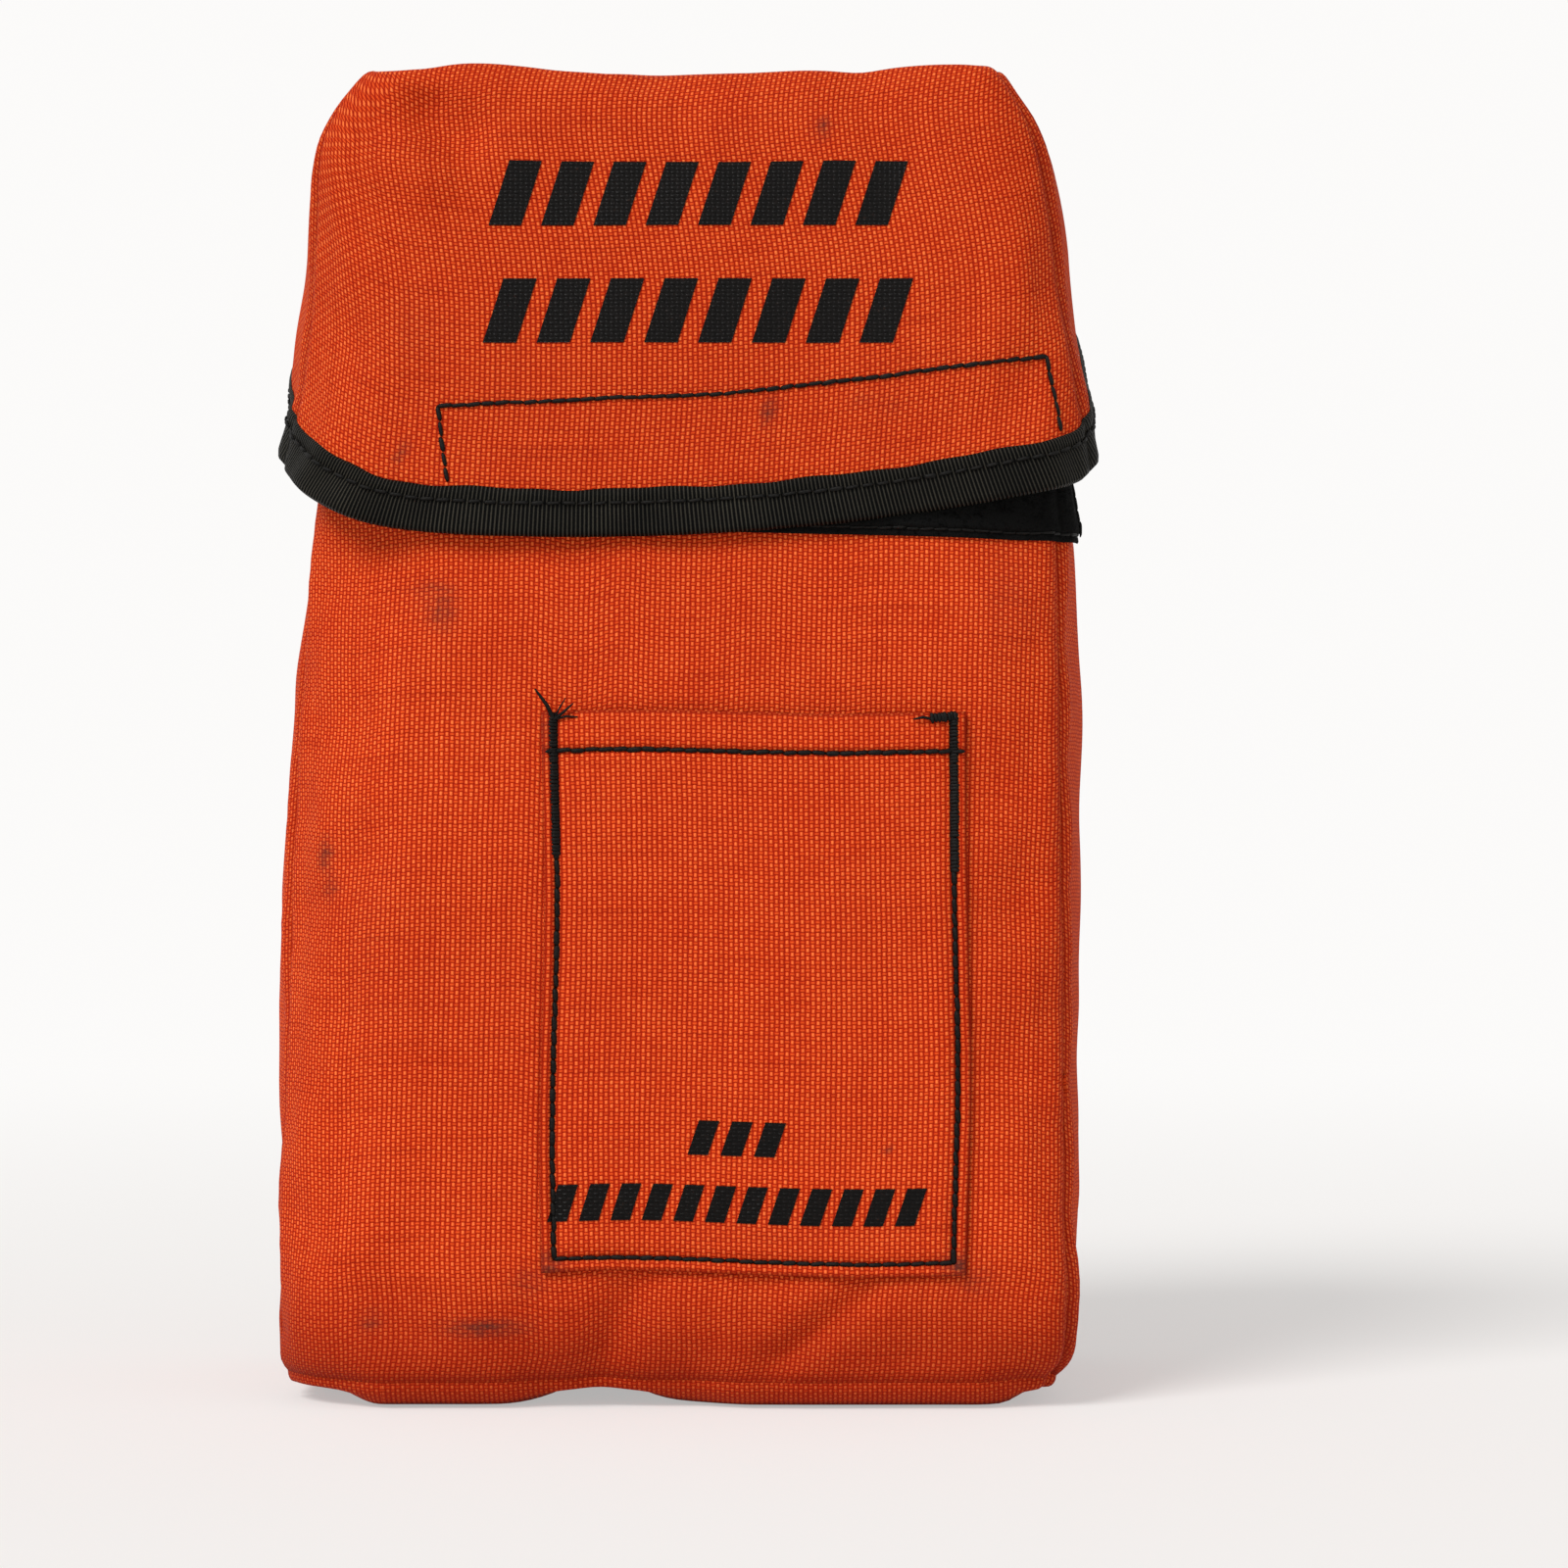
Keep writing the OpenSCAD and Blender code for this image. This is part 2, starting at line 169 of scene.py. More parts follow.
def ring(q, left, right, front, back, radii):
    """Points of a level outline. q counts its eight stretches: 0 front, 1 front right
    corner, 2 right side, 3 back right corner, 4 back, 5 back left corner, 6 left side,
    7 front left corner."""
    q, left, right, front, back = np.broadcast_arrays(q, left, right, front, back)
    r1, r3, r5, r7 = (np.broadcast_to(r, q.shape) for r in radii)
    part = np.floor(q).astype(int) % 8
    t = q - np.floor(q)
    wide, deep = left + right, front + back
    turn = np.radians(90 * t)
    corner = {
        1: (right - r1, r1 - front, r1, turn - math.pi / 2),
        3: (right - r3, back - r3, r3, turn),
        5: (r5 - left, back - r5, r5, turn + math.pi / 2),
        7: (r7 - left, r7 - front, r7, turn + math.pi),
    }
    x, y = np.zeros(q.shape), np.zeros(q.shape)
    straight = {
        0: (r7 - left + t * (wide - r7 - r1), -front),
        2: (right, r1 - front + t * (deep - r1 - r3)),
        4: (right - r3 - t * (wide - r3 - r5), back),
        6: (-left, back - r5 - t * (deep - r5 - r7)),
    }
    for k, (px, py) in straight.items():
        x, y = np.where(part == k, px, x), np.where(part == k, py, y)
    for k, (cx, cy, r, a) in corner.items():
        x = np.where(part == k, cx + r * np.cos(a), x)
        y = np.where(part == k, cy + r * np.sin(a), y)
    return x, y


class Outline:
    """Turns s, the length round the bag from the middle of its front, into ring's q."""

    def __init__(self, left, right, front, back, radii):
        r1, r3, r5, r7 = radii
        wide, deep = left + right, front + back
        arc = math.pi / 2
        parts = [wide - r7 - r1, arc * r1, deep - r1 - r3, arc * r3,
                 wide - r3 - r5, arc * r5, deep - r5 - r7, arc * r7]
        first = r7 - left
        self.total = sum(parts)
        ends = first + np.concatenate([[0], np.cumsum(parts)])
        self.s = np.concatenate([ends[:-1] - self.total, ends])
        self.q = np.concatenate([np.arange(8) - 8, np.arange(9)]).astype(float)

    def q_at(self, s):
        return np.interp(s, self.s, self.q)

    def s_at(self, q):
        return np.interp(q, self.q, self.s)


def between(knots_s, knots_h, grid, s, h):
    """The value of a grid over s and h, read between its knots."""
    i = np.clip(np.searchsorted(knots_h, h, "right") - 1, 0, len(knots_h) - 2)
    j = np.clip(np.searchsorted(knots_s, s, "right") - 1, 0, len(knots_s) - 2)
    a = ((h - knots_h[i]) / (knots_h[i + 1] - knots_h[i]))[..., None]
    b = ((s - knots_s[j]) / (knots_s[j + 1] - knots_s[j]))[..., None]
    low = grid[i, j] * (1 - b) + grid[i, j + 1] * b
    high = grid[i + 1, j] * (1 - b) + grid[i + 1, j + 1] * b
    return low * (1 - a) + high * a


class Wall:
    """A cloth surface kept as a grid of points over s (the way round) and h (the way up)."""

    def __init__(self, s, h, points):
        self.s, self.h, self.points = s, h, points
        across = np.gradient(points, axis=1)
        up = np.gradient(points, axis=0)
        normals = np.cross(across, up)
        self.normals = normals / np.linalg.norm(normals, axis=2, keepdims=True)

    def at(self, s, h, lift=0.0):
        """Points that stand lift mm proud of the cloth at s and h."""
        s, h = np.broadcast_arrays(s, h)
        points = between(self.s, self.h, self.points, s, h)
        normals = between(self.s, self.h, self.normals, s, h)
        return points + np.asarray(lift)[..., None] * normals

    def s_of(self, x, h, span):
        """Where the cloth passes x at each height h, looked for within a span of s."""
        s = np.linspace(span[0], span[1], 400)
        x, h = np.broadcast_arrays(np.asarray(x, float), np.asarray(h, float))
        found = [np.interp(a, self.at(s, b)[:, 0], s) for a, b in zip(x.ravel(), h.ravel())]
        return np.array(found).reshape(x.shape)


# ---- The pouch's walls ----

def side_left(z):
    return HALF_W + 2 - SIDE_DRAW * (np.maximum(z, 0) / MOUTH_Z) ** 1.5


def side_right(z):
    late = 0.06 * np.maximum(z - 160, 0)
    return HALF_W - 1.1 - 4 * (np.maximum(z, 0) / MOUTH_Z) ** 3 - late


def depth(z):
    return HALF_D - FRONT_DRAW * (np.maximum(z, 0) / MOUTH_Z) ** 2


LID_AHEAD = -node_box("lid_front")[0][1] - depth(LID_LOW_Z)


def shoulder(z):
    return SHOULDER * np.maximum((z - 226) / 20, 0) ** 2.6


def tucked(z, radius):
    """How far the rounded bottom edge has drawn in at height z."""
    u = np.clip(radius - z, 0, radius)
    return radius - np.sqrt(radius * radius - u * u)


def bottom_lumps(x):
    """Where the bottom edge bulges forward, from 0 to 1 across the front."""
    right = smooth((x - 0) / 14) * smooth((66 - x) / 12)
    left = 0.8 * smooth((x + 66) / 12) * smooth((-24 - x) / 10)
    return right + left


POUCH = Outline(side_left(0), side_right(0), HALF_D, HALF_D, CORNERS)
SEAM_FL = float(POUCH.s_at(-1 + 5 / 90))    # the seams, by their place in the corners
SEAM_FR = float(POUCH.s_at(1 + 62 / 90))
SEAM_BR = float(POUCH.s_at(3.5))
SEAM_BL = float(POUCH.s_at(5.5))


def steps(start, end, size):
    return np.linspace(start, end, max(2, int(round(abs(end - start) / size)) + 1))


def joined(*runs):
    return np.unique(np.round(np.concatenate(runs), 5))


def pouch_columns():
    """Columns round the whole bag, closer together in the corners."""
    runs = []
    for k in range(8):
        a, b = POUCH.s_at(k), POUCH.s_at(k + 1)
        runs.append(steps(a, b, 2.0 if k % 2 == 0 else 1.4))
    s = joined(*runs, np.array([SEAM_FR, SEAM_BR, SEAM_BL, SEAM_FL + POUCH.total]))
    behind = s[s > SEAM_BL + 20] - POUCH.total
    return joined(behind, s)


def seam_profile(distance):
    """A turned seam: a narrow groove between two soft ridges."""
    return (-0.9 * bump(distance, 0, 1.3) + 0.35 * bump(np.abs(distance), 3.4, 2.2))


def pouch_wall():
    s = pouch_columns()
    z = joined(steps(SEAM_Z, BOTTOM_R, 1.2), steps(BOTTOM_R, MOUTH_Z, 2.2),
               steps(MOUTH_Z, FOLD_Z, 2.2))
    ss, zz = np.meshgrid(s, z)
    draw = tucked(zz, BOTTOM_R)
    fall = shoulder(zz) + 2 * smooth((zz - 205) / 25)
    x, y = ring(POUCH.q_at(ss), side_left(zz) - tucked(zz, LEFT_R) - fall,
                side_right(zz) - tucked(zz, RIGHT_R) - fall, depth(zz) - draw,
                depth(zz) - draw, CORNERS)
    facing = smooth((-y - HALF_D + 26) / 14)
    forward = (tucked(zz, BOTTOM_R) - tucked(zz, 7.0)) * bottom_lumps(x) * facing
    points = np.stack([x, y - forward, zz], axis=-1)
    wall = Wall(s, z, points)

    up = np.clip((zz - SEAM_Z) / (MOUTH_Z - SEAM_Z), 0, 1)
    lift = np.zeros(ss.shape)
    panels = [(SEAM_FL, SEAM_FR, 0.2), (SEAM_FR, SEAM_BR, -0.5), (SEAM_BR, SEAM_BL, 0.4),
              (SEAM_BL - POUCH.total, SEAM_FL, 0.3), (SEAM_BL, SEAM_FL + POUCH.total, 0.3)]
    for a, b, puff in panels:
        t = np.clip((ss - a) / (b - a), 0, 1)
        on_panel = (ss > a) & (ss < b)
        crown = np.sin(math.pi * t) ** 0.55 * np.sin(math.pi * np.clip(up, 0, 0.93)) ** 0.5
        lift += np.where(on_panel, puff * crown, 0)
    for seam in (SEAM_FL, SEAM_FR, SEAM_BR, SEAM_BL, SEAM_FL + POUCH.total,
                 SEAM_BR - POUCH.total, SEAM_BL - POUCH.total):
        lift += seam_profile(ss - seam)
        wave = np.sin(zz * 0.95 + 2.2 * np.sin(zz * 0.11 + seam))
        lift += 0.05 * wave * bump(np.abs(ss - seam), 3.0, 3.5)
    lift += 0.45 * seam_profile(zz - SEAM_Z)
    elsewhere = 1 - facing
    lift += (0.8 + 0.9 * elsewhere) * rumple(points, 55, 3.7)
    lift += (0.28 + 0.3 * elsewhere) * rumple(points, 19, 11.3)
    lift += 0.10 * rumple(points * np.array([1.0, 1.0, 0.35]), 7, 5.1)
    on_front = smooth((-y - HALF_D + 22) / 12)
    lift += on_front * creases(x, zz, (
        ((36, 24), (14, 6), 2.8, 1.7), ((-6, 26), (-17, 4), 4.0, 1.6),
        ((-58, 26), (-46, 6), 4.0, 0.5), ((60, 60), (66, 130), 2.4, 0.35),
        ((-62, 40), (-60, 150), 5.0, 0.45), ((-34, 134), (-52, 156), 4.0, 0.4),
        ((58, 120), (54, 24), 3.4, 0.35)))
    lines = []
    for seam_a, seam_b in ((SEAM_FR, SEAM_BR), (SEAM_BL, SEAM_FL + POUCH.total),
                           (SEAM_BL - POUCH.total, SEAM_FL)):
        middle, half = (seam_a + seam_b) / 2, (seam_b - seam_a) / 2
        lines += [((middle - 0.8 * half, 34), (middle + 0.1 * half, 6), 5.0, 2.2),
                  ((middle + 0.7 * half, 60), (middle + 0.2 * half, 12), 6.0, 1.8),
                  ((middle - 2, 150), (middle + 3, 70), 7.0, 2.0)]
    behind = (SEAM_BR + SEAM_BL) / 2
    lines += [((behind - 52, 40), (behind - 20, 10), 5.0, 2.0),
              ((behind + 40, 70), (behind + 56, 18), 5.0, 1.8),
              ((behind - 30, 196), (behind + 18, 176), 7.0, 1.6)]
    for line in lines:
        lift += crease(ss, zz, *line)
    return Wall(s, z, points + lift[..., None] * wall.normals)


# ---- The lid's walls ----

CROWN_Z = TOP_Z + 1.5                 # the lid's front stands a little above its fold


def lid_left(z):
    return HALF_W - 1.3 - 0.105 * (z - 190) + 2.2 * smooth((190 - z) / 24)


def lid_right(z):
    return HALF_W + 0.2 - 0.166 * (z - 190) + 0.4 * smooth((178 - z) / 22)


LID = Outline(lid_left(190), lid_right(190), depth(190) + LID_AHEAD, EAR_BACK_Y,
              (10.0, 0.01, 0.01, 20.0))
EAR_L = float(LID.s_at(-2))                   # the back edges of the two ears
EAR_R = float(LID.s_at(3))
LID_FL = float(LID.s_at(-1 + 18 / 90))        # the seams between the front and the ears
LID_FR = float(LID.s_at(1 + 66 / 90))
LID_TOP = CROWN_Z - BROW + BROW * math.pi / 2   # h of the seam to the lid's top
LOWEST_S = -17.0                              # where the lid's edge hangs lowest
EDGE_CURVE = 380.0
EAR_RISE = math.radians(27)                   # how steeply the ears' edges climb
EAR_SLOPE = math.tan(EAR_RISE)
EAR_CORNER = 14.0


def edge_of_lid():
    """Heights of the lid's lower edge: a slack curve over the front, then climbing lines
    that turn up round the ears' back corners."""
    s = steps(EAR_L, EAR_R, 0.25)
    front_l, front_r = LID.s_at(0), LID.s_at(1)
    side_l, side_r = LID.s_at(-1), LID.s_at(2)
    slope = (s - LOWEST_S) / EDGE_CURVE
    to_left = smooth((front_l + 14 - s) / (front_l - side_l))
    to_right = smooth((s - front_r) / (side_r - front_r))
    slope = slope * (1 - to_left) - EAR_SLOPE * to_left
    slope = slope * (1 - to_right) + EAR_SLOPE * to_right
    h = np.concatenate([[0], np.cumsum((slope[1:] + slope[:-1]) / 2 * np.diff(s))])
    h += LID_LOW_Z - h.min()
    tangent = EAR_CORNER * math.tan((math.pi / 2 - EAR_RISE) / 2)
    for end, sign in ((0, 1), (-1, -1)):
        centre_s, centre_h = s[end] + sign * EAR_CORNER, h[end] + tangent
        near = (s - s[end]) * sign < tangent * math.cos(EAR_RISE)
        round_h = centre_h - np.sqrt(np.maximum(EAR_CORNER ** 2 - (s - centre_s) ** 2, 0))
        h = np.where(near, round_h, h)
    return s, h


EDGE_S, EDGE_H = edge_of_lid()


def edge_h(s):
    return np.interp(s, EDGE_S, EDGE_H)


def top_line(x):
    """How the top edge of the lid's front rises and falls."""
    return (-0.9 * bump(x, 2, 26) + 0.5 * bump(x, -34, 12) + 0.6 * bump(x, 46, 12)
            - 0.9 * bump(x, -53, 8) + 0.3 * bump(x, -36, 8)
            - 1.0 * smooth((-58 - x) / 6) - 1.0 * smooth((x - 56) / 8) + 0.4)


def lid_wall():
    s = joined(*[steps(LID.s_at(k), LID.s_at(k + 1), 2.0 if k % 2 == 0 else 1.3)
                 for k in range(-2, 3)], np.array([LID_FL, LID_FR]))
    h = joined(steps(146, CROWN_Z - BROW, 2.0), steps(CROWN_Z - BROW, LID_TOP, 0.8))
    ss, hh = np.meshgrid(s, h)
    turn = np.clip((hh - CROWN_Z + BROW) / BROW, 0, math.pi / 2)
    z = np.minimum(hh, CROWN_Z - BROW) + BROW * np.sin(turn)
    fall = shoulder(z - 1.7)
    narrow = smooth((z - 200) / (CROWN_Z - 200))
    x, y = ring(LID.q_at(ss), lid_left(z) - 1.15 * fall, lid_right(z) - 0.80 * fall,
                depth(z) + LID_AHEAD - BROW * (1 - np.cos(turn)), EAR_BACK_Y,
                (10 - 2 * narrow, 0.01, 0.01, 20 - 11 * narrow))
    z = z + top_line(x) * smooth((hh - 222) / 24)
    points = np.stack([x, y, z], axis=-1)
    wall = Wall(s, h, points)
    on_front = smooth((-y - HALF_D + 24) / 14)
    lift = 0.8 * rumple(points, 46, 21.9) + 0.3 * rumple(points, 17, 8.4)
    lift += 0.10 * rumple(points * np.array([1.0, 1.0, 0.35]), 7, 2.2)
    for seam in (LID_FL, LID_FR):
        lift += 0.8 * seam_profile(ss - seam)
        lift += 0.05 * np.sin(z * 0.9 + seam) * bump(np.abs(ss - seam), 3.0, 3.5)
    lift += 0.8 * seam_profile(hh - LID_TOP)
    ear = smooth((LID_FL - ss) / 12) + smooth((ss - LID_FR) / 12)
    lift += 0.3 * ear * np.sin(math.pi * np.clip((z - 165) / 80, 0, 1))
    lift += 0.9 * ear * rumple(points, 28, 14.2)
    lift += on_front * creases(x, z, (
        ((-50, 242), (-36, 232), 5.0, 3.8), ((-60, 240), (-50, 200), 5.0, 1.0),
        ((30, 249), (44, 226), 5.0, 0.9), ((-8, 250), (4, 236), 6.0, 0.5),
        ((-66, 205), (-48, 176), 5.0, 0.6), ((69, 215), (62, 180), 3.5, 0.4)))
    hem = bump(hh - edge_h(ss), TAPE_W + 1.5, 2.5)
    lift += 0.3 * hem
    return Wall(s, h, points + lift[..., None] * wall.normals)


def settled(wall, start, end, low, high, seams, most, turn=0.0):
    """Lets the cloth find its own shape: held along its seams, pressed out by the padding
    behind it and cut a little too large, so that it puffs and buckles as sewn cloth does.
    The wall follows the simulated sheet by most mm at the most."""
    knots = sorted([start, end] + [k for k in seams if start < k < end])
    s = joined(*[steps(a, b, SETTLE_GRID) for a, b in zip(knots[:-1], knots[1:])])
    h = steps(low, high, SETTLE_GRID)
    grid = wall.at(s[None, :], h[:, None])
    sheet = new_piece("settling_cloth", grid.reshape(-1, 3), grid_faces(len(h), len(s)))
    still = np.zeros((len(h), len(s)), bool)
    still[[0, -1]] = True
    for k in knots:
        still[:, np.abs(s - k).argmin()] = True
    held = sheet.vertex_groups.new(name="held")
    held.add(np.flatnonzero(still).tolist(), 1.0, "REPLACE")
    simulation = sheet.modifiers.new("settle", "CLOTH")
    cloth_of = simulation.settings
    cloth_of.quality = 6
    cloth_of.mass = 0.3
    for word, value in CLOTH_STIFFNESS.items():
        setattr(cloth_of, word, value)
    cloth_of.vertex_group_mass = "held"
    cloth_of.shrink_min = CUT_TOO_LARGE
    cloth_of.use_pressure = True
    cloth_of.uniform_pressure_force = PADDING_PRESSURE
    cloth_of.effector_weights.gravity = 0
    simulation.collision_settings.use_collision = False
    scene = bpy.context.scene
    for frame_number in range(1, SETTLE_FRAMES + 1):
        scene.frame_set(frame_number)
    shape = sheet.evaluated_get(bpy.context.evaluated_depsgraph_get()).data
    moved = np.zeros(len(shape.vertices) * 3, np.float32)
    shape.vertices.foreach_get("co", moved)
    moved = moved.reshape(grid.shape) / MM - grid
    scene.frame_set(1)
    bpy.data.meshes.remove(sheet.data)
    far = np.linalg.norm(moved, axis=-1, keepdims=True)
    moved *= most * np.tanh(far / most) / np.maximum(far, 1e-6)
    ss, hh = np.meshgrid(wall.s, wall.h)
    ss = np.where(ss > end, ss - turn, ss)
    shift = between(s, h, moved, np.clip(ss, start, end), np.clip(hh, low, high))
    shift *= ((hh >= low) & (hh <= high))[..., None]
    for _ in range(2):
        even_out(shift)
        even_out(shift.swapaxes(0, 1))
    return Wall(wall.s, wall.h, wall.points + shift)


def pouch_shape():
    return settled(pouch_wall(), SEAM_BL - POUCH.total, SEAM_BL, SEAM_Z, MOUTH_Z,
                   [SEAM_FL, SEAM_FR, SEAM_BR], POUCH_SWELL, POUCH.total)


def lid_shape():
    return settled(lid_wall(), EAR_L, EAR_R, LID_LOW_Z - 8, LID_TOP, [LID_FL, LID_FR],
                   LID_SWELL)


def coons(front, right, back, left, u, v):
    """A sheet between four edge curves, each a function of 0 to 1: front and back run
    from left to right, left and right run from the back to the front."""
    uu, vv = np.meshgrid(u, v)
    u1, v1 = uu[..., None], vv[..., None]
    edges = (left(vv) * (1 - u1) + right(vv) * u1 + back(uu) * (1 - v1) + front(uu) * v1)
    corners = (back(0.0) * (1 - u1) * (1 - v1) + back(1.0) * u1 * (1 - v1)
               + front(0.0) * (1 - u1) * v1 + front(1.0) * u1 * v1)
    return edges - corners


def curve_of(points):
    """A function of 0 to 1 that runs along a line of points at an even speed."""
    run = lengths_along(points[None], 1)[0]
    run = run / run[-1]
    return lambda t: read_at(t, run, points)


def back_and_top_grid():
    """One length of cloth: up the back, round the fold and forward to the lid's front."""
    columns = within(POUCH_WALL.s, SEAM_BR, SEAM_BL)
    share = (columns - SEAM_BR) / (SEAM_BL - SEAM_BR)
    corner_l, corner_r = LID.s_at(-0.5), LID.s_at(1.5)
    left_top = LID_WALL.at(np.linspace(EAR_L, corner_l, 60), LID_TOP)
    right_top = LID_WALL.at(np.linspace(EAR_R, corner_r, 60), LID_TOP)
    front_top = LID_WALL.at(np.linspace(corner_l, corner_r, 120), LID_TOP)
    roll = 1.4
    ends = [right_top[0, 0] - 1.6, left_top[0, 0] + 1.6]
    behind = np.stack([np.interp(share, [0, 1], ends),
                       np.full(len(share), FOLD_Y), np.full(len(share), FOLD_Z + roll)], -1)
    back_row = behind[::-1]
    left_edge = np.vstack([back_row[:1], left_top])
    right_edge = np.vstack([back_row[-1:], right_top])
    v = joined(steps(0, 0.93, 0.03), steps(0.93, 1, 0.012))
    top = coons(curve_of(front_top), curve_of(right_edge), curve_of(back_row),
                curve_of(left_edge), 1 - share, v)
    uu, vv = np.meshgrid(1 - share, v)
    slack = np.sin(math.pi * uu) ** 0.7 * np.sin(math.pi * vv) ** 0.7
    top[..., 2] += slack * (2.4 + 1.8 * rumple(top, 42, 5.5) + 0.7 * rumple(top, 17, 9.5))

    fold = []
    for angle in np.radians([0, 30, 60]):
        row = behind.copy()
        row[:, 1] = FOLD_Y + roll * math.cos(angle)
        row[:, 2] = FOLD_Z + roll * math.sin(angle)
        fold.append(row)

    z = POUCH_WALL.h[POUCH_WALL.h < FOLD_Z - 1.5]
    wall = POUCH_WALL.at(columns[None, :], z[:, None])
    brow_z = CROWN_Z - BROW
    h = np.where(z < brow_z, z, brow_z + BROW * np.arcsin(np.clip((z - brow_z) / BROW, 0, 1)))
    inside = 2.2 * (1 - smooth((z - FOLD_Z + 9) / 8))
    tuck = 1 - smooth((z - FOLD_Z + 7) / 6)
    edge_r = (LID_WALL.at(EAR_R, h)[:, 0] - inside)[:, None]
    edge_l = (LID_WALL.at(EAR_L, h)[:, 0] + inside)[:, None]
    from_edge = np.minimum(share, 1 - share) * (edge_r - edge_l)
    curl = 1 - np.sqrt(1 - np.clip(1 - from_edge / 6, 0, 1) ** 2)
    flat = np.stack([edge_r * (1 - share) + edge_l * share,
                     depth(z)[:, None] + 0.3 - 7 * curl * tuck[:, None],
                     np.broadcast_to(z[:, None], from_edge.shape)], axis=-1)
    weight = smooth((z - MOUTH_Z + 3) / 18)[:, None, None]
    wall = wall * (1 - weight) + flat * weight
    return np.concatenate([wall, np.array(fold), top])


def notch_under(x, y):
    """How far the bottom panel is tucked up: between the two bulges of the front, and at
    its front corners."""
    corners = 3.6 * smooth((-x - 56) / 12) + 2.6 * smooth((x - 58) / 10)
    return (4.6 * bump(x, -15, 9) + corners) * smooth((-y - 4) / 26)


def bottom_edge_grid():
    """The bottom panel's edge, from flat under the bag out and up to its seam."""
    columns = within(POUCH_WALL.s, POUCH.s_at(0), POUCH.s_at(8))
    q = POUCH.q_at(columns)
    seam = POUCH_WALL.at(columns, SEAM_Z)
    left = side_left(SEAM_Z) - tucked(SEAM_Z, LEFT_R)
    right = side_right(SEAM_Z) - tucked(SEAM_Z, RIGHT_R)
    deep = depth(SEAM_Z) - tucked(SEAM_Z, BOTTOM_R)
    plain = np.stack(ring(q, left, right, deep, deep, CORNERS), axis=-1)
    front = smooth((-seam[:, 1] - 10) / 20)
    reach = 10.5 - 4.5 * bottom_lumps(seam[:, 0]) * front - 3 * smooth((-seam[:, 0] - 55) / 12)
    rows = []
    for t in np.linspace(1, 0, 14) ** 1.7:
        inset = t * reach
        radii = [np.maximum(r - inset, 0.3) for r in CORNERS]
        xy = np.stack(ring(q, left - inset, right - inset, deep - inset, deep - inset, radii),
                      axis=-1) + (seam[:, :2] - plain) * (1 - t)
        z = seam[:, 2] * (1 - math.sqrt(1 - (1 - t) ** 2))
        z = np.minimum(z + notch_under(xy[:, 0], xy[:, 1]) * smooth(2 * t), seam[:, 2])
        rows.append(np.column_stack([xy, z]))
    return columns, np.array(rows)


def bottom_flat_grid(columns, edge):
    """The flat middle of the bottom panel, laid just inside its edge."""
    marks = [POUCH.s_at(k) for k in (0.5, 1.5, 3.5, 5.5, 7.5)]
    line = edge[1]

    def part(a, b):
        return curve_of(read_at(np.linspace(a, b, 120), columns, line))

    first = read_at(np.linspace(marks[4], columns[-1], 30), columns, line)
    front = np.vstack([first, part(columns[0], marks[1])(np.linspace(0, 1, 120))])
    u, v = steps(0, 1, 0.02), steps(0, 1, 0.035)
    grid = coons(curve_of(front), part(marks[2], marks[1]), part(marks[3], marks[2]),
                 part(marks[3], marks[4]), u, v)
    grid[..., 2] = 0.1 + notch_under(grid[..., 0], grid[..., 1])
    return grid


# ---- Making pieces ----

def new_piece(name, verts, faces, uv=None, soil=None, seam=None):
    mesh = bpy.data.meshes.new(name)
    mesh.from_pydata((np.asarray(verts) * MM).tolist(), [], faces)
    if uv is not None:
        layer = mesh.uv_layers.new(name="weave")
        index = np.zeros(len(mesh.loops), np.int32)
        mesh.loops.foreach_get("vertex_index", index)
        layer.data.foreach_set("uv", np.asarray(uv, np.float32)[index].ravel())
    # The seam values are painted shade, darkening the colour along seams, folds and low on the
    # walls.
    for word, values in (("soil", soil), ("seam", seam)):
        if values is not None:
            attribute = mesh.attributes.new(word, "FLOAT", "POINT")
            attribute.data.foreach_set("value", np.asarray(values, np.float32).ravel())
    piece = bpy.data.objects.new(name, mesh)
    bpy.context.scene.collection.objects.link(piece)
    return piece


def pick(piece):
    bpy.ops.object.select_all(action="DESELECT")
    piece.select_set(True)
    bpy.context.view_layer.objects.active = piece


def thicken(piece, thickness, offset=-1.0):
    wall = piece.modifiers.new("thickness", "SOLIDIFY")
    wall.thickness = thickness * MM
    wall.offset = offset
    wall.use_even_offset = False
    pick(piece)
    bpy.ops.object.modifier_apply(modifier="thickness")


def soften(piece, angle=50):
    pick(piece)
    bpy.ops.object.shade_smooth_by_angle(angle=math.radians(angle))


def grid_faces(rows, cols):
    return [(i * cols + j, i * cols + j + 1, (i + 1) * cols + j + 1, (i + 1) * cols + j)
            for i in range(rows - 1) for j in range(cols - 1)]


def cloth(name, grid, thickness, finish, soil=None, uv=None, seam=None):
    """A sheet of cloth from a grid of outer points, with its thickness inwards. Painted shade
    darkens its colour along its edges, unless seam says where."""
    rows, cols = grid.shape[:2]
    if uv is None:
        uv = weave_map(grid, cols // 2)
    if seam is None:
        seam = edge_shade(grid, (0.5, 0.5, 0.5, 0.5))
    piece = new_piece(name, grid.reshape(-1, 3), grid_faces(rows, cols), uv.reshape(-1, 2),
                      None if soil is None else soil.reshape(-1), seam.reshape(-1))
    thicken(piece, thickness)
    soften(piece)
    piece.data.materials.append(finish)
    return piece


def edge_shade(grid, weights, width=1.6):
    """Dark lines along a grid's first and last columns, and its first and last rows."""
    across, up = lengths_along(grid, 1), lengths_along(grid, 0)
    lines = (across, across[:, -1:] - across, up, up[-1:] - up)
    return sum(w * np.exp(-(d / width) ** 2) for w, d in zip(weights, lines))


def place(piece, body, slot, *nodes):
    if body:
        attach(piece, body)
    if nodes:
        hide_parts(*nodes)


# ---- Materials ----

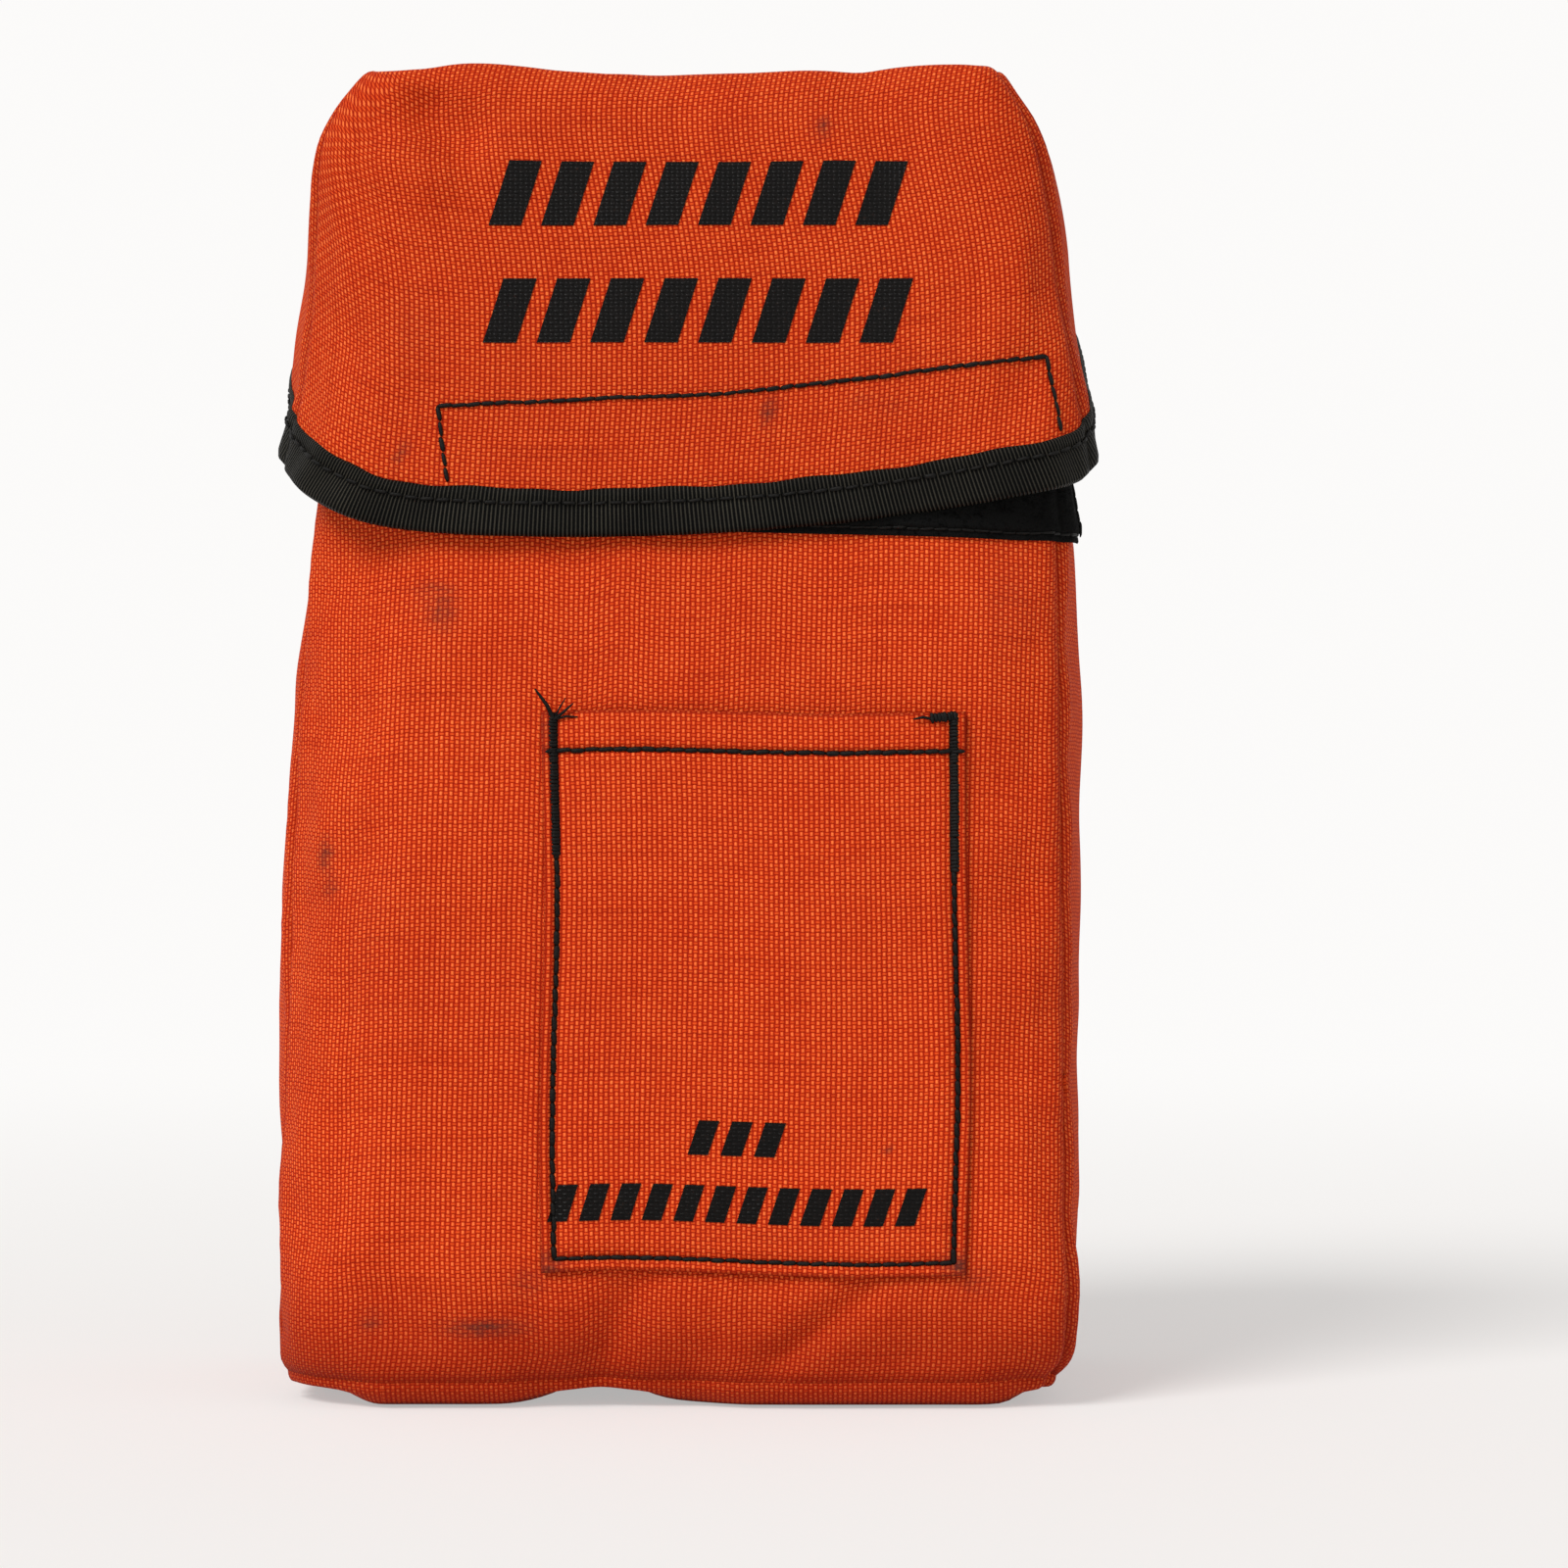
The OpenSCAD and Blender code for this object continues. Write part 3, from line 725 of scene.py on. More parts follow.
class Finish:
    """A material's nodes, with short calls for the ones used here."""

    def __init__(self, name, roughness, specular=0.3, sheen=0.0, sheen_roughness=0.5):
        self.material = bpy.data.materials.new(name)
        self.material.use_nodes = True
        self.tree = self.material.node_tree
        self.shader = self.tree.nodes["Principled BSDF"]
        self.set("Roughness", roughness)
        self.set("Specular IOR Level", specular)
        self.set("Sheen Weight", sheen)
        self.set("Sheen Roughness", sheen_roughness)

    def set(self, socket, value):
        self.shader.inputs[socket].default_value = value

    def node(self, kind, **values):
        node = self.tree.nodes.new(kind)
        for key, value in values.items():
            setattr(node, key, value)
        return node

    def wire(self, source, target):
        if isinstance(source, (int, float)):
            target.default_value = source
        else:
            self.tree.links.new(source, target)

    def math(self, operation, a, b=0.0, clamp=False):
        node = self.node("ShaderNodeMath", operation=operation, use_clamp=clamp)
        self.wire(a, node.inputs[0])
        self.wire(b, node.inputs[1])
        return node.outputs[0]

    def mix(self, factor, a, b):
        node = self.node("ShaderNodeMix", data_type="FLOAT")
        self.wire(factor, node.inputs[0])
        self.wire(a, node.inputs[2])
        self.wire(b, node.inputs[3])
        return node.outputs[0]

    def tint(self, factor, a, b, way="MIX"):
        node = self.node("ShaderNodeMix", data_type="RGBA", blend_type=way)
        self.wire(factor, node.inputs[0])
        for source, target in ((a, node.inputs[6]), (b, node.inputs[7])):
            if isinstance(source, tuple):
                target.default_value = (*source, 1)
            else:
                self.tree.links.new(source, target)
        return node.outputs[2]

    def uv(self):
        node = self.node("ShaderNodeUVMap", uv_map="weave")
        split = self.node("ShaderNodeSeparateXYZ")
        self.tree.links.new(node.outputs[0], split.inputs[0])
        return node.outputs[0], split.outputs[0], split.outputs[1]

    def place(self):
        return self.node("ShaderNodeTexCoord").outputs["Object"]

    def painted(self, word):
        """A value kept at each point of the piece."""
        return self.node("ShaderNodeAttribute", attribute_name=word).outputs["Fac"]

    def wave(self, along, pitch):
        """A sine that swings once over two threads of that pitch in mm."""
        return self.math("SINE", self.math("MULTIPLY", along, math.pi / (pitch * MM)))

    def uneven(self, *wanted):
        """Noise spread evenly about nought."""
        return self.math("SUBTRACT", self.noise(*wanted), 0.5)

    def shaded(self, colour, source, *stops):
        """A colour made darker and lighter by a ramp over the source."""
        return self.tint(1.0, colour, self.ramp(source, *stops), "MULTIPLY")

    def stretched(self, source, scale):
        node = self.node("ShaderNodeMapping")
        node.inputs["Scale"].default_value = scale
        self.tree.links.new(source, node.inputs["Vector"])
        return node.outputs[0]

    def noise(self, source, scale, detail=2.0, roughness=0.5):
        node = self.node("ShaderNodeTexNoise")
        self.tree.links.new(source, node.inputs["Vector"])
        node.inputs["Scale"].default_value = scale
        node.inputs["Detail"].default_value = detail
        node.inputs["Roughness"].default_value = roughness
        return node.outputs["Fac"]

    def ramp(self, source, *stops):
        node = self.node("ShaderNodeValToRGB")
        self.tree.links.new(source, node.inputs[0])
        places = node.color_ramp.elements
        while len(places) < len(stops):
            places.new(0.5)
        for element, (position, colour) in zip(places, stops):
            element.position = position
            element.color = (*colour, 1)
        return node.outputs[0]

    def relief(self, height, depth_mm, strength=1.0):
        node = self.node("ShaderNodeBump")
        node.inputs["Strength"].default_value = strength
        node.inputs["Distance"].default_value = depth_mm * MM
        self.tree.links.new(height, node.inputs["Height"])
        self.tree.links.new(node.outputs[0], self.shader.inputs["Normal"])

    def colour(self, source):
        self.tree.links.new(source, self.shader.inputs["Base Color"])


def plain_weave(f, u, v, pitch_u, pitch_v):
    """A plain weave, one up, one down: which thread lies on top (1 for an upright one), and
    its height from 0 to 1."""
    wave_u, wave_v = f.wave(u, pitch_u), f.wave(v, pitch_v)
    over = f.math("GREATER_THAN", f.math("MULTIPLY", wave_u, wave_v), 0.0)
    a, b = f.math("ABSOLUTE", wave_u), f.math("ABSOLUTE", wave_v)
    upright = f.math("MULTIPLY", f.math("POWER", a, 2.0), f.math("POWER", b, 0.22))
    level = f.math("MULTIPLY", f.math("POWER", b, 1.5), f.math("POWER", a, 0.45))
    return over, f.mix(over, level, upright)


def each_crossing(f, u, v, pitch_u, pitch_v):
    """A number from 0 to 1 that differs from one crossing of the threads to the next."""
    place = f.node("ShaderNodeCombineXYZ")
    f.wire(f.math("FLOOR", f.math("DIVIDE", u, pitch_u * MM)), place.inputs[0])
    f.wire(f.math("FLOOR", f.math("DIVIDE", v, pitch_v * MM)), place.inputs[1])
    scatter = f.node("ShaderNodeTexWhiteNoise", noise_dimensions="2D")
    f.tree.links.new(place.outputs[0], scatter.inputs["Vector"])
    return scatter.outputs["Value"]


def wobbled(f, uv, u, v, amount_mm):
    """Cloth coordinates whose threads wander a little."""
    shift = f.uneven(uv, 130.0, 3.0)
    side = f.uneven(f.stretched(uv, (1.3, 0.8, 1)), 210.0, 3.0)
    return (f.math("ADD", u, f.math("MULTIPLY", shift, 2 * amount_mm * MM)),
            f.math("ADD", v, f.math("MULTIPLY", side, 2 * amount_mm * MM)))


def orange_cloth(name, tone, soiled=True):
    """Coarse plain-woven nylon: the upright threads shine on their crowns, the level ones lie
    lower. The crown colour is a painted highlight and the gap colour painted shade between the
    threads. Slubs, uneven dye and handling marks go over the weave; painted shade darkens it along
    its seams."""
    gap_shade, low, level, upright, crown = (tuple(a * b for a, b in zip(colour, tone)) for colour in (
        (0.38, 0.012, 0.0006), (0.62, 0.042, 0.0040), (0.84, 0.092, 0.0140),
        (0.80, 0.078, 0.0115), (0.98, 0.195, 0.0480)))
    f = Finish(name, roughness=0.75, specular=0.08)
    uv, u, v = f.uv()
    u, v = wobbled(f, uv, u, v, 0.20)
    over, height = plain_weave(f, u, v, WEAVE_X, WEAVE_Z)
    each = f.math("SUBTRACT", each_crossing(f, u, v, WEAVE_X, WEAVE_Z), 0.5)
    fibre = f.uneven(f.stretched(uv, (1, 1.4, 1)), 2400.0, 2.0)
    patch = f.uneven(uv, 95.0, 3.0, 0.6)
    vary = f.math("ADD", f.math("MULTIPLY", each, 0.30), f.math("MULTIPLY", patch, 0.55))
    height = f.math("MULTIPLY", height, f.math("ADD", vary, 0.98))
    height = f.math("ADD", height, f.math("MULTIPLY", fibre, 0.22))
    # The crown colour is a painted highlight on the upright threads; the gap colour is painted
    # shade between the threads.
    lying = f.ramp(height, (0.15, gap_shade), (0.55, low), (0.92, level))
    standing = f.ramp(height, (0.12, gap_shade), (0.45, upright), (0.92, crown))
    colour = f.tint(over, lying, standing)
    slub = f.noise(f.stretched(uv, (34, 1250, 1)), 1.0, 2.0, 0.6)
    colour = f.shaded(colour, slub, (0.30, (0.86, 0.76, 0.70)), (0.46, (1, 1, 1)),
                      (0.60, (1, 1, 1)), (0.74, (1.05, 1.10, 1.12)))
    warp = f.noise(f.stretched(uv, (1000, 20, 1)), 1.0, 2.0, 0.6)
    colour = f.shaded(colour, warp, (0.32, (0.93, 0.86, 0.82)), (0.5, (1, 1, 1)),
                      (0.7, (1.03, 1.06, 1.06)))
    dye = f.noise(f.place(), 16.0, 3.0)
    colour = f.shaded(colour, dye, (0.3, (0.94, 0.88, 0.86)), (0.7, (1.03, 1.05, 1.06)))
    # Painted shade: the seam values darken the colour along seams, folded edges and low on the
    # walls.
    colour = f.tint(f.painted("seam"), colour, tuple(0.55 * c for c in gap_shade))
    if soiled:
        broken = f.noise(f.stretched(uv, (300, 900, 1)), 1.0, 3.0, 0.7)
        patchy = f.math("SUBTRACT", f.math("MULTIPLY", broken, 2.6), 0.5)
        mark = f.math("MULTIPLY", f.painted("soil"), patchy, clamp=True)
        mark = f.math("MINIMUM", mark, 0.88)
        colour = f.tint(mark, colour, (0.035, 0.020, 0.016))
    f.colour(colour)
    f.relief(height, 0.15, 0.8)
    return f.material


def binding_tape():
    """Grosgrain: fine ribs across the tape, dull black, a little greyed where it rubs."""
    f = Finish("binding_tape", roughness=0.5, specular=0.06)
    uv, u, _ = f.uv()
    rib = f.math("ABSOLUTE", f.wave(u, 0.72))
    fuzz = f.uneven(uv, 3000.0, 2.0)
    height = f.math("ADD", f.math("POWER", rib, 1.6), f.math("MULTIPLY", fuzz, 0.35))
    wear = f.noise(f.place(), 60.0, 4.0, 0.6)
    colour = f.ramp(height, (0.18, (0.0002, 0.0002, 0.0002)), (0.60, (0.0030, 0.0028, 0.0022)),
                    (1.0, (0.0360, 0.0330, 0.0260)))
    f.colour(f.shaded(colour, wear, (0.35, (0.7, 0.7, 0.7)), (0.7, (1.5, 1.47, 1.4))))
    f.relief(height, 0.25, 1.0)
    return f.material


def loop_pile():
    """Soft loop pile, almost black, with a felted surface."""
    f = Finish("loop_pile", roughness=0.9, specular=0.04)
    uv, _, _ = f.uv()
    curls = f.noise(uv, 1500.0, 3.0, 0.7)
    clumps = f.noise(uv, 400.0, 3.0, 0.6)
    height = f.math("ADD", curls, clumps)
    f.colour(f.ramp(height, (0.7, (0.0008, 0.0008, 0.0008)), (1.0, (0.006, 0.006, 0.0058))))
    f.relief(height, 0.5, 0.9)
    return f.material


def hook_pile():
    """Rows of stiff hooks on a woven base."""
    f = Finish("hook_pile", roughness=0.45, specular=0.2)
    uv, u, v = f.uv()
    a, b = (f.math("ABSOLUTE", f.wave(*row)) for row in ((u, 1.3), (v, 1.5)))
    height = f.math("POWER", f.math("MULTIPLY", a, b), 1.6)
    height = f.math("ADD", height, f.math("MULTIPLY", f.noise(uv, 2500.0, 2.0), 0.3))
    f.colour(f.ramp(height, (0.1, (0.003, 0.003, 0.003)), (1.0, (0.02, 0.02, 0.019))))
    f.relief(height, 0.6, 1.0)
    return f.material


def black_thread():
    """Bonded thread with its twist and a few greyed fibres."""
    f = Finish("black_thread", roughness=0.55, specular=0.12)
    twist = f.noise(f.place(), 2600.0, 3.0, 0.6)
    f.colour(f.ramp(twist, (0.35, (0.0012, 0.0012, 0.001)), (0.75, (0.011, 0.0095, 0.008))))
    f.relief(twist, 0.12, 0.8)
    return f.material


def glass_liner():
    """Smooth silver-grey fire resistant cloth, finely woven."""
    f = Finish("glass_liner", roughness=0.48, specular=0.45)
    _, u, v = f.uv()
    _, height = plain_weave(f, u, v, 0.6, 0.6)
    crumple = f.noise(f.place(), 70.0, 4.0, 0.6)
    colour = f.ramp(height, (0.2, (0.24, 0.245, 0.25)), (1.0, (0.40, 0.41, 0.42)))
    f.colour(f.shaded(colour, crumple, (0.35, (0.86, 0.86, 0.87)), (0.7, (1.05, 1.05, 1.05))))
    f.relief(f.math("ADD", height, f.math("MULTIPLY", crumple, 4.0)), 0.12, 0.6)
    return f.material


def fibre_padding():
    """Off-white needled fibre felt."""
    f = Finish("fibre_padding", roughness=0.95, specular=0.1)
    place = f.place()
    fibres = f.noise(place, 900.0, 5.0, 0.75)
    tufts = f.noise(place, 120.0, 3.0)
    f.colour(f.ramp(fibres, (0.3, (0.55, 0.53, 0.47)), (0.7, (0.78, 0.76, 0.70))))
    f.relief(f.math("ADD", fibres, tufts), 0.4, 0.7)
    return f.material


def print_film():
    """Satin black transfer print that shows the weave beneath it and has worn at places."""
    f = Finish("print_film", roughness=0.38, specular=0.09)
    uv, u, v = f.uv()
    u, v = wobbled(f, uv, u, v, 0.26)
    _, height = plain_weave(f, u, v, WEAVE_X, WEAVE_Z)
    wear = f.noise(uv, 700.0, 4.0, 0.7)
    f.colour(f.ramp(wear, (0.3, (0.0015, 0.0012, 0.0011)), (0.64, (0.0045, 0.0034, 0.0030)),
                    (0.8, (0.05, 0.018, 0.010))))
    f.relief(height, 0.14, 0.9)
    return f.material


def seen_directly(tree):
    """1 where the stage is looked at, straight or in a gloss, 0 where it only gives light."""
    paths = tree.nodes.new("ShaderNodeLightPath")
    seen = paths.outputs["Is Camera Ray"]
    for word in ("Is Glossy Ray", "Is Transmission Ray"):
        either = tree.nodes.new("ShaderNodeMath")
        either.operation = "MAXIMUM"
        tree.links.new(seen, either.inputs[0])
        tree.links.new(paths.outputs[word], either.inputs[1])
        seen = either.outputs[0]
    return seen


def floor_finish():
    """A white floor that keeps the bag's shadow and brightens into the backdrop further out."""
    f = Finish("pale_floor", roughness=0.85, specular=0.1)
    f.set("Base Color", (0.86, 0.84, 0.82, 1))
    away = f.node("ShaderNodeVectorMath", operation="LENGTH")
    f.tree.links.new(f.place(), away.inputs[0])
    far = f.node("ShaderNodeMapRange", interpolation_type="SMOOTHSTEP")
    for socket, value in (("From Min", 0.15), ("From Max", 1.1),
                          ("To Min", 0.45), ("To Max", 1.0)):
        far.inputs[socket].default_value = value
    f.wire(away.outputs["Value"], far.inputs["Value"])
    glow = f.node("ShaderNodeEmission")
    glow.inputs["Color"].default_value = BACKDROP
    mix = f.node("ShaderNodeMixShader")
    f.wire(f.math("MULTIPLY", seen_directly(f.tree), far.outputs["Result"]), mix.inputs[0])
    f.tree.links.new(f.shader.outputs[0], mix.inputs[1])
    f.tree.links.new(glow.outputs[0], mix.inputs[2])
    f.tree.links.new(mix.outputs[0], f.tree.nodes["Material Output"].inputs[0])
    return f.material


BACKDROP = (0.97, 0.96, 0.95, 1)
BODY_CLOTH = orange_cloth("orange_cloth", (0.97, 0.98, 0.96))
# The lid's cloth is a darker copy of the body's cloth: painted shade.
LID_CLOTH = orange_cloth("orange_cloth_lid", (0.89, 0.91, 0.88))
LINING_CLOTH = orange_cloth("orange_lining", (0.80, 0.85, 0.85), soiled=False)
TAPE = binding_tape()
LOOP = loop_pile()
HOOK = hook_pile()
THREAD = black_thread()
GLASS = glass_liner()
FELT = fibre_padding()
PRINT = print_film()


# ---- Handling marks ----

def soil_at(x, z, spots):
    """How dirty the cloth is at x and z: spots are (x, z, half width, half height, weight)."""
    mark = np.zeros(np.shape(x))
    for cx, cz, w, h, weight in spots:
        mark = mark + weight * np.exp(-(((x - cx) / w) ** 2 + ((z - cz) / h) ** 2))
    return mark


POUCH_MARKS = [(-44, 147, 2.6, 3.2, 0.55), (-46, 151, 4, 1.6, 0.3), (-66, 102, 1.3, 2.6, 0.8),
               (-65, 96, 1.4, 1.8, 0.5), (-36, 15.3, 6.5, 1.3, 0.8), (-57, 16.5, 1.8, 1.6, 0.45),
               (-33, 30, 0.6, 0.6, 0.8), (-28, 24, 3, 2.4, 0.35), (54, 24, 3, 2.4, 0.35),
               (60, 150, 5, 8, 0.16), (-58, 90, 8, 20, 0.08)]
POCKET_MARKS = [(-24, 27, 2.6, 2.4, 0.7), (50.5, 27, 2.8, 2.4, 0.7), (37.8, 48.2, 0.7, 0.6, 0.8),
                (-25, 124, 2.0, 5.0, 0.35), (20, 34, 26, 5, 0.08)]
LID_MARKS = [(26, 236, 1.3, 1.5, 0.7), (15.8, 183.6, 0.9, 2.0, 0.8), (17.3, 184.4, 0.7, 1.6, 0.5),
             (38, 185, 2.2, 0.9, 0.35), (33, 186, 1.6, 0.9, 0.25), (-51, 175.5, 0.8, 2.4, 0.6),
             (-50, 199, 6, 6, 0.08)]


# ---- The pouch ----

POUCH_WALL = pouch_shape()
LID_WALL = lid_shape()
FRONT_SPAN = (SEAM_FL, SEAM_FR + 8)
LID_SPAN = (LID_FL, LID_FR + 4)


def wall_grid(a, b, low, high, lift=0.0):
    s, z = within(POUCH_WALL.s, a, b), within(POUCH_WALL.h, low, high)
    return POUCH_WALL.at(s[None, :], z[:, None], lift)


def outer_wall(name, a, b):
    grid = wall_grid(a, b, SEAM_Z, MOUTH_Z)
    marks = soil_at(grid[..., 0], grid[..., 2], POUCH_MARKS) * (grid[..., 1] < 0)
    # Painted shade along the seams, growing darker towards the bottom edge where the front curves
    # under.
    seam = edge_shade(grid, (0.34, 0.34, 0.3, 0)) + 0.48 * smooth((32 - grid[..., 2]) / 26)
    piece = cloth(name + "_cloth", grid, SHELL, BODY_CLOTH, marks, seam=seam)
    place(piece, "pouch", "orange_cloth", name)


def inner_layers(word, grid_at):
    """The padding and the liner behind one wall; grid_at gives the wall's grid by lift. The
    liner closes over the padding's edges and is caught in the seams."""
    felt = grid_at(-SHELL - 0.1)
    pad = cloth(word + "_padding_felt", felt[1:-1, 1:-1], PAD, FELT)
    place(pad, "pouch", "fibre_padding", word + "_padding")
    liner = grid_at(-SHELL - PAD - 0.2)
    for edge in (np.s_[0], np.s_[-1], np.s_[:, 0], np.s_[:, -1]):
        liner[edge] = felt[edge]
    skin = cloth(word + "_liner_cloth", liner, LINER, GLASS)
    place(skin, "pouch", "fire_liner", word + "_liner")


def pouch_walls():
    walls = (("front", "_panel", SEAM_FL, SEAM_FR), ("right", "_gusset", SEAM_FR, SEAM_BR),
             ("left", "_gusset", SEAM_BL, SEAM_FL + POUCH.total))
    for side, kind, a, b in walls:
        outer_wall(side + kind, a, b)
    for side, kind, a, b in walls:
        inner_layers(side, lambda lift: wall_grid(a, b, SEAM_Z, MOUTH_Z, lift))


def bottom_panel():
    columns, edge = bottom_edge_grid()
    flat = bottom_flat_grid(columns, edge)
    run = lengths_along(edge, 0)
    edge_uv = np.stack([np.broadcast_to(columns, run.shape), run - run[-1:] - 0.3], -1) * MM
    verts = np.vstack([edge.reshape(-1, 3), flat.reshape(-1, 3)])
    first = edge.shape[0] * edge.shape[1]
    faces = grid_faces(*edge.shape[:2])
    faces += [tuple(first + i for i in face) for face in grid_faces(*flat.shape[:2])]
    uv = np.vstack([edge_uv.reshape(-1, 2), flat[..., :2].reshape(-1, 2) * MM])
    shade = np.concatenate([np.full(first, 0.45), np.full(len(verts) - first, 0.2)])
    piece = new_piece("bottom_panel_cloth", verts, faces, uv, np.zeros(len(verts)), shade)
    thicken(piece, SHELL)
    for vertex in piece.data.vertices:
        vertex.co.z = max(vertex.co.z, 0)
    soften(piece)
    piece.data.materials.append(BODY_CLOTH)
    place(piece, "pouch", "orange_cloth", "bottom_panel")
    under = Wall(np.arange(flat.shape[1]), np.arange(flat.shape[0]), flat)
    across, along = np.meshgrid(under.s, under.h)
    inner_layers("bottom", lambda lift: under.at(across, along, lift))


def back_and_top():
    grid = back_and_top_grid()
    piece = cloth("back_and_top_cloth", grid, SHELL, LID_CLOTH, np.zeros(grid.shape[:2]))
    place(piece, None, "orange_cloth", "back_panel", "lid_top", "hinge_fold")
    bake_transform(piece)
    wall = Wall(np.arange(grid.shape[1]), np.arange(grid.shape[0]), grid)
    back_rows = np.arange(int((grid[:, 0, 2] < FOLD_Z - 4).argmin()))
    inner_layers("back", lambda lift: wall.at(wall.s[None, 3:-3], back_rows[:, None], lift))
    top_rows = np.flatnonzero((grid[:, grid.shape[1] // 2, 1] < FOLD_Y - 3)
                              & (grid[:, grid.shape[1] // 2, 2] > FOLD_Z - 3))
    lining = wall.at(wall.s[None, :], top_rows[:, None].astype(float), -SHELL - 0.1)
    piece = cloth("lid_top_lining_cloth", lining, LINING, LINING_CLOTH)
    place(piece, "lid", "lid_lining", "lid_top_lining")


def swept_tape(name, rows, uv_run, profile_run, finish, thickness):
    """A tape swept along a path: rows[k] are the points of profile point k."""
    grid = np.array(rows)
    count = grid.shape[1]
    u = np.broadcast_to(uv_run, grid.shape[:2])
    v = np.broadcast_to(profile_run[:, None], grid.shape[:2])
    uv = np.stack([u, v], axis=-1) * MM
    piece = new_piece(name, grid.reshape(-1, 3), grid_faces(len(rows), count),
                      uv.reshape(-1, 2))
    thicken(piece, thickness)
    soften(piece, 60)
    piece.data.materials.append(finish)
    return piece


def folded_profile(behind):
    """Distances in from the edge and lifts of a tape folded over cloth of that thickness."""
    back = -behind - 0.15
    return [(TAPE_W, back), (TAPE_W - 0.5, back - 0.45), (TAPE_W / 2, back - 0.5),
            (0.6, back - 0.5), (-0.3, back - 0.25), (-0.75, back / 2 - 0.1), (-0.75, back / 4),
            (-0.3, 0.45), (0.6, 0.66), (TAPE_W * 0.3, 0.68), (TAPE_W * 0.55, 0.66),
            (TAPE_W * 0.66, 0.50), (TAPE_W * 0.80, 0.62), (TAPE_W - 0.4, 0.6), (TAPE_W, 0.12)]


def mouth_binding():
    """Tape folded over the rim of the front and the sides."""
    s = steps(SEAM_BL - POUCH.total + 7, SEAM_BR - 7, 1.2)
    profile = folded_profile(SHELL + PAD + LINER + 0.3)
    rows = [POUCH_WALL.at(s, MOUTH_Z - d, lift) for d, lift in profile]
    piece = swept_tape("mouth_binding_tape", rows, s, run_of(profile), TAPE, FOLDED_TAPE)
    place(piece, "pouch", "black_binding", "mouth_binding")


# ---- Stitching ----

def stitch_shape(length, width, height):
    """One stitch seen as a short hump of thread, as rings along its length."""
    rings, sides = 7, 6
    verts, faces = [], []
    for k in range(rings):
        t = -1 + 2 * k / (rings - 1)
        girth = (1 - 0.55 * t ** 6) * width / 2
        for m in range(sides):
            a = 2 * math.pi * m / sides
            verts.append((t * length / 2, girth * math.cos(a),
                          height * (1 - 0.8 * t ** 4) + 0.75 * girth * math.sin(a)))
    faces = [(i * sides + j, i * sides + (j + 1) % sides,
              (i + 1) * sides + (j + 1) % sides, (i + 1) * sides + j)
             for i in range(rings - 1) for j in range(sides)]
    faces.append(tuple(range(sides - 1, -1, -1)))
    faces.append(tuple((rings - 1) * sides + j for j in range(sides)))
    return np.array(verts), [f[::-1] for f in faces]


def along_path(wall, path, lift):
    """A dense line of points, and of normals, along a path of (s, h) on a wall."""
    path = np.array(path, float)
    dense = []
    for a, b in zip(path[:-1], path[1:]):
        n = max(2, int(np.hypot(*(b - a)) / 0.25))
        dense.append(a + (b - a) * np.linspace(0, 1, n)[:, None])
    dense = np.vstack(dense)
    points = wall.at(dense[:, 0], dense[:, 1], lift)
    proud = wall.at(dense[:, 0], dense[:, 1], np.asarray(lift) + 1.0)
    return points, proud - points


def thread_work(name, verts, faces, body):
    piece = new_piece(name, np.vstack(verts), faces)
    soften(piece, 80)
    piece.data.materials.append(THREAD)
    place(piece, body, "black_thread")
    return piece


def stitches(name, runs, body, pitch=2.6, length=2.9, width=0.84, height=0.30, seed=1):
    """Stitches along runs of points with their normals, as one piece of thread work."""
    shape, faces = stitch_shape(length, width, height)
    rng = np.random.default_rng(seed)
    verts, made = [], []
    for points, normals in runs:
        run = lengths_along(points[None], 1)[0]
        count = max(1, round(run[-1] / pitch))
        for middle in (np.arange(count) + 0.5) * run[-1] / count:
            before, centre, ahead = (read_at(middle + d, run, points) for d in (-0.6, 0, 0.6))
            normal = read_at(middle, run, normals)
            along = (ahead - before) / np.linalg.norm(ahead - before)
            side = np.cross(normal, along)
            side /= np.linalg.norm(side)
            up = np.cross(along, side)
            skew = math.radians(rng.normal(3.5, 2.5))
            t = math.cos(skew) * along + math.sin(skew) * side
            b = np.cross(up, t)
            size = rng.uniform(0.9, 1.08)
            shift = side * rng.normal(0, 0.05)
            put = (centre + shift + np.outer(shape[:, 0] * size, t)
                   + np.outer(shape[:, 1] * rng.uniform(0.88, 1.12), b)
                   + np.outer(shape[:, 2], up))
            made += [tuple(v + len(verts) * len(shape) for v in f) for f in faces]
            verts.append(put)
    return thread_work(name, verts, made, body)


def thread_end(points, radius):
    """A loose end of thread as a thin tube, tapering to a frayed tip."""
    last, sides = 15, 5
    fine = curve_of(np.array(points, float))(np.linspace(0, 1, last + 1))
    verts, faces = [], []
    for k, p in enumerate(fine):
        ahead = fine[min(k + 1, last)] - fine[max(k - 1, 0)]
        ahead /= np.linalg.norm(ahead)
        side = np.cross(ahead, (0, 1, 0.2))
        side /= np.linalg.norm(side)
        up = np.cross(side, ahead)
        r = radius * (1 - 0.6 * (k / last) ** 3)
        for m in range(sides):
            a = 2 * math.pi * m / sides
            verts.append(p + r * (math.cos(a) * side + math.sin(a) * up))
    for i in range(last):
        for j in range(sides):
            faces.append((i * sides + j, (i + 1) * sides + j,
                          (i + 1) * sides + (j + 1) % sides, i * sides + (j + 1) % sides))
    faces.append(tuple(range(sides)))
    faces.append(tuple(last * sides + j for j in range(sides - 1, -1, -1)))
    return np.array(verts), faces


def threads(name, ends, body):
    verts, faces = [], []
    for points, radius in ends:
        v, f = thread_end(points, radius)
        faces += [tuple(i + sum(map(len, verts)) for i in face) for face in f]
        verts.append(v)
    thread_work(name, verts, faces, body)


# ---- The pocket and the loop tape on the front ----

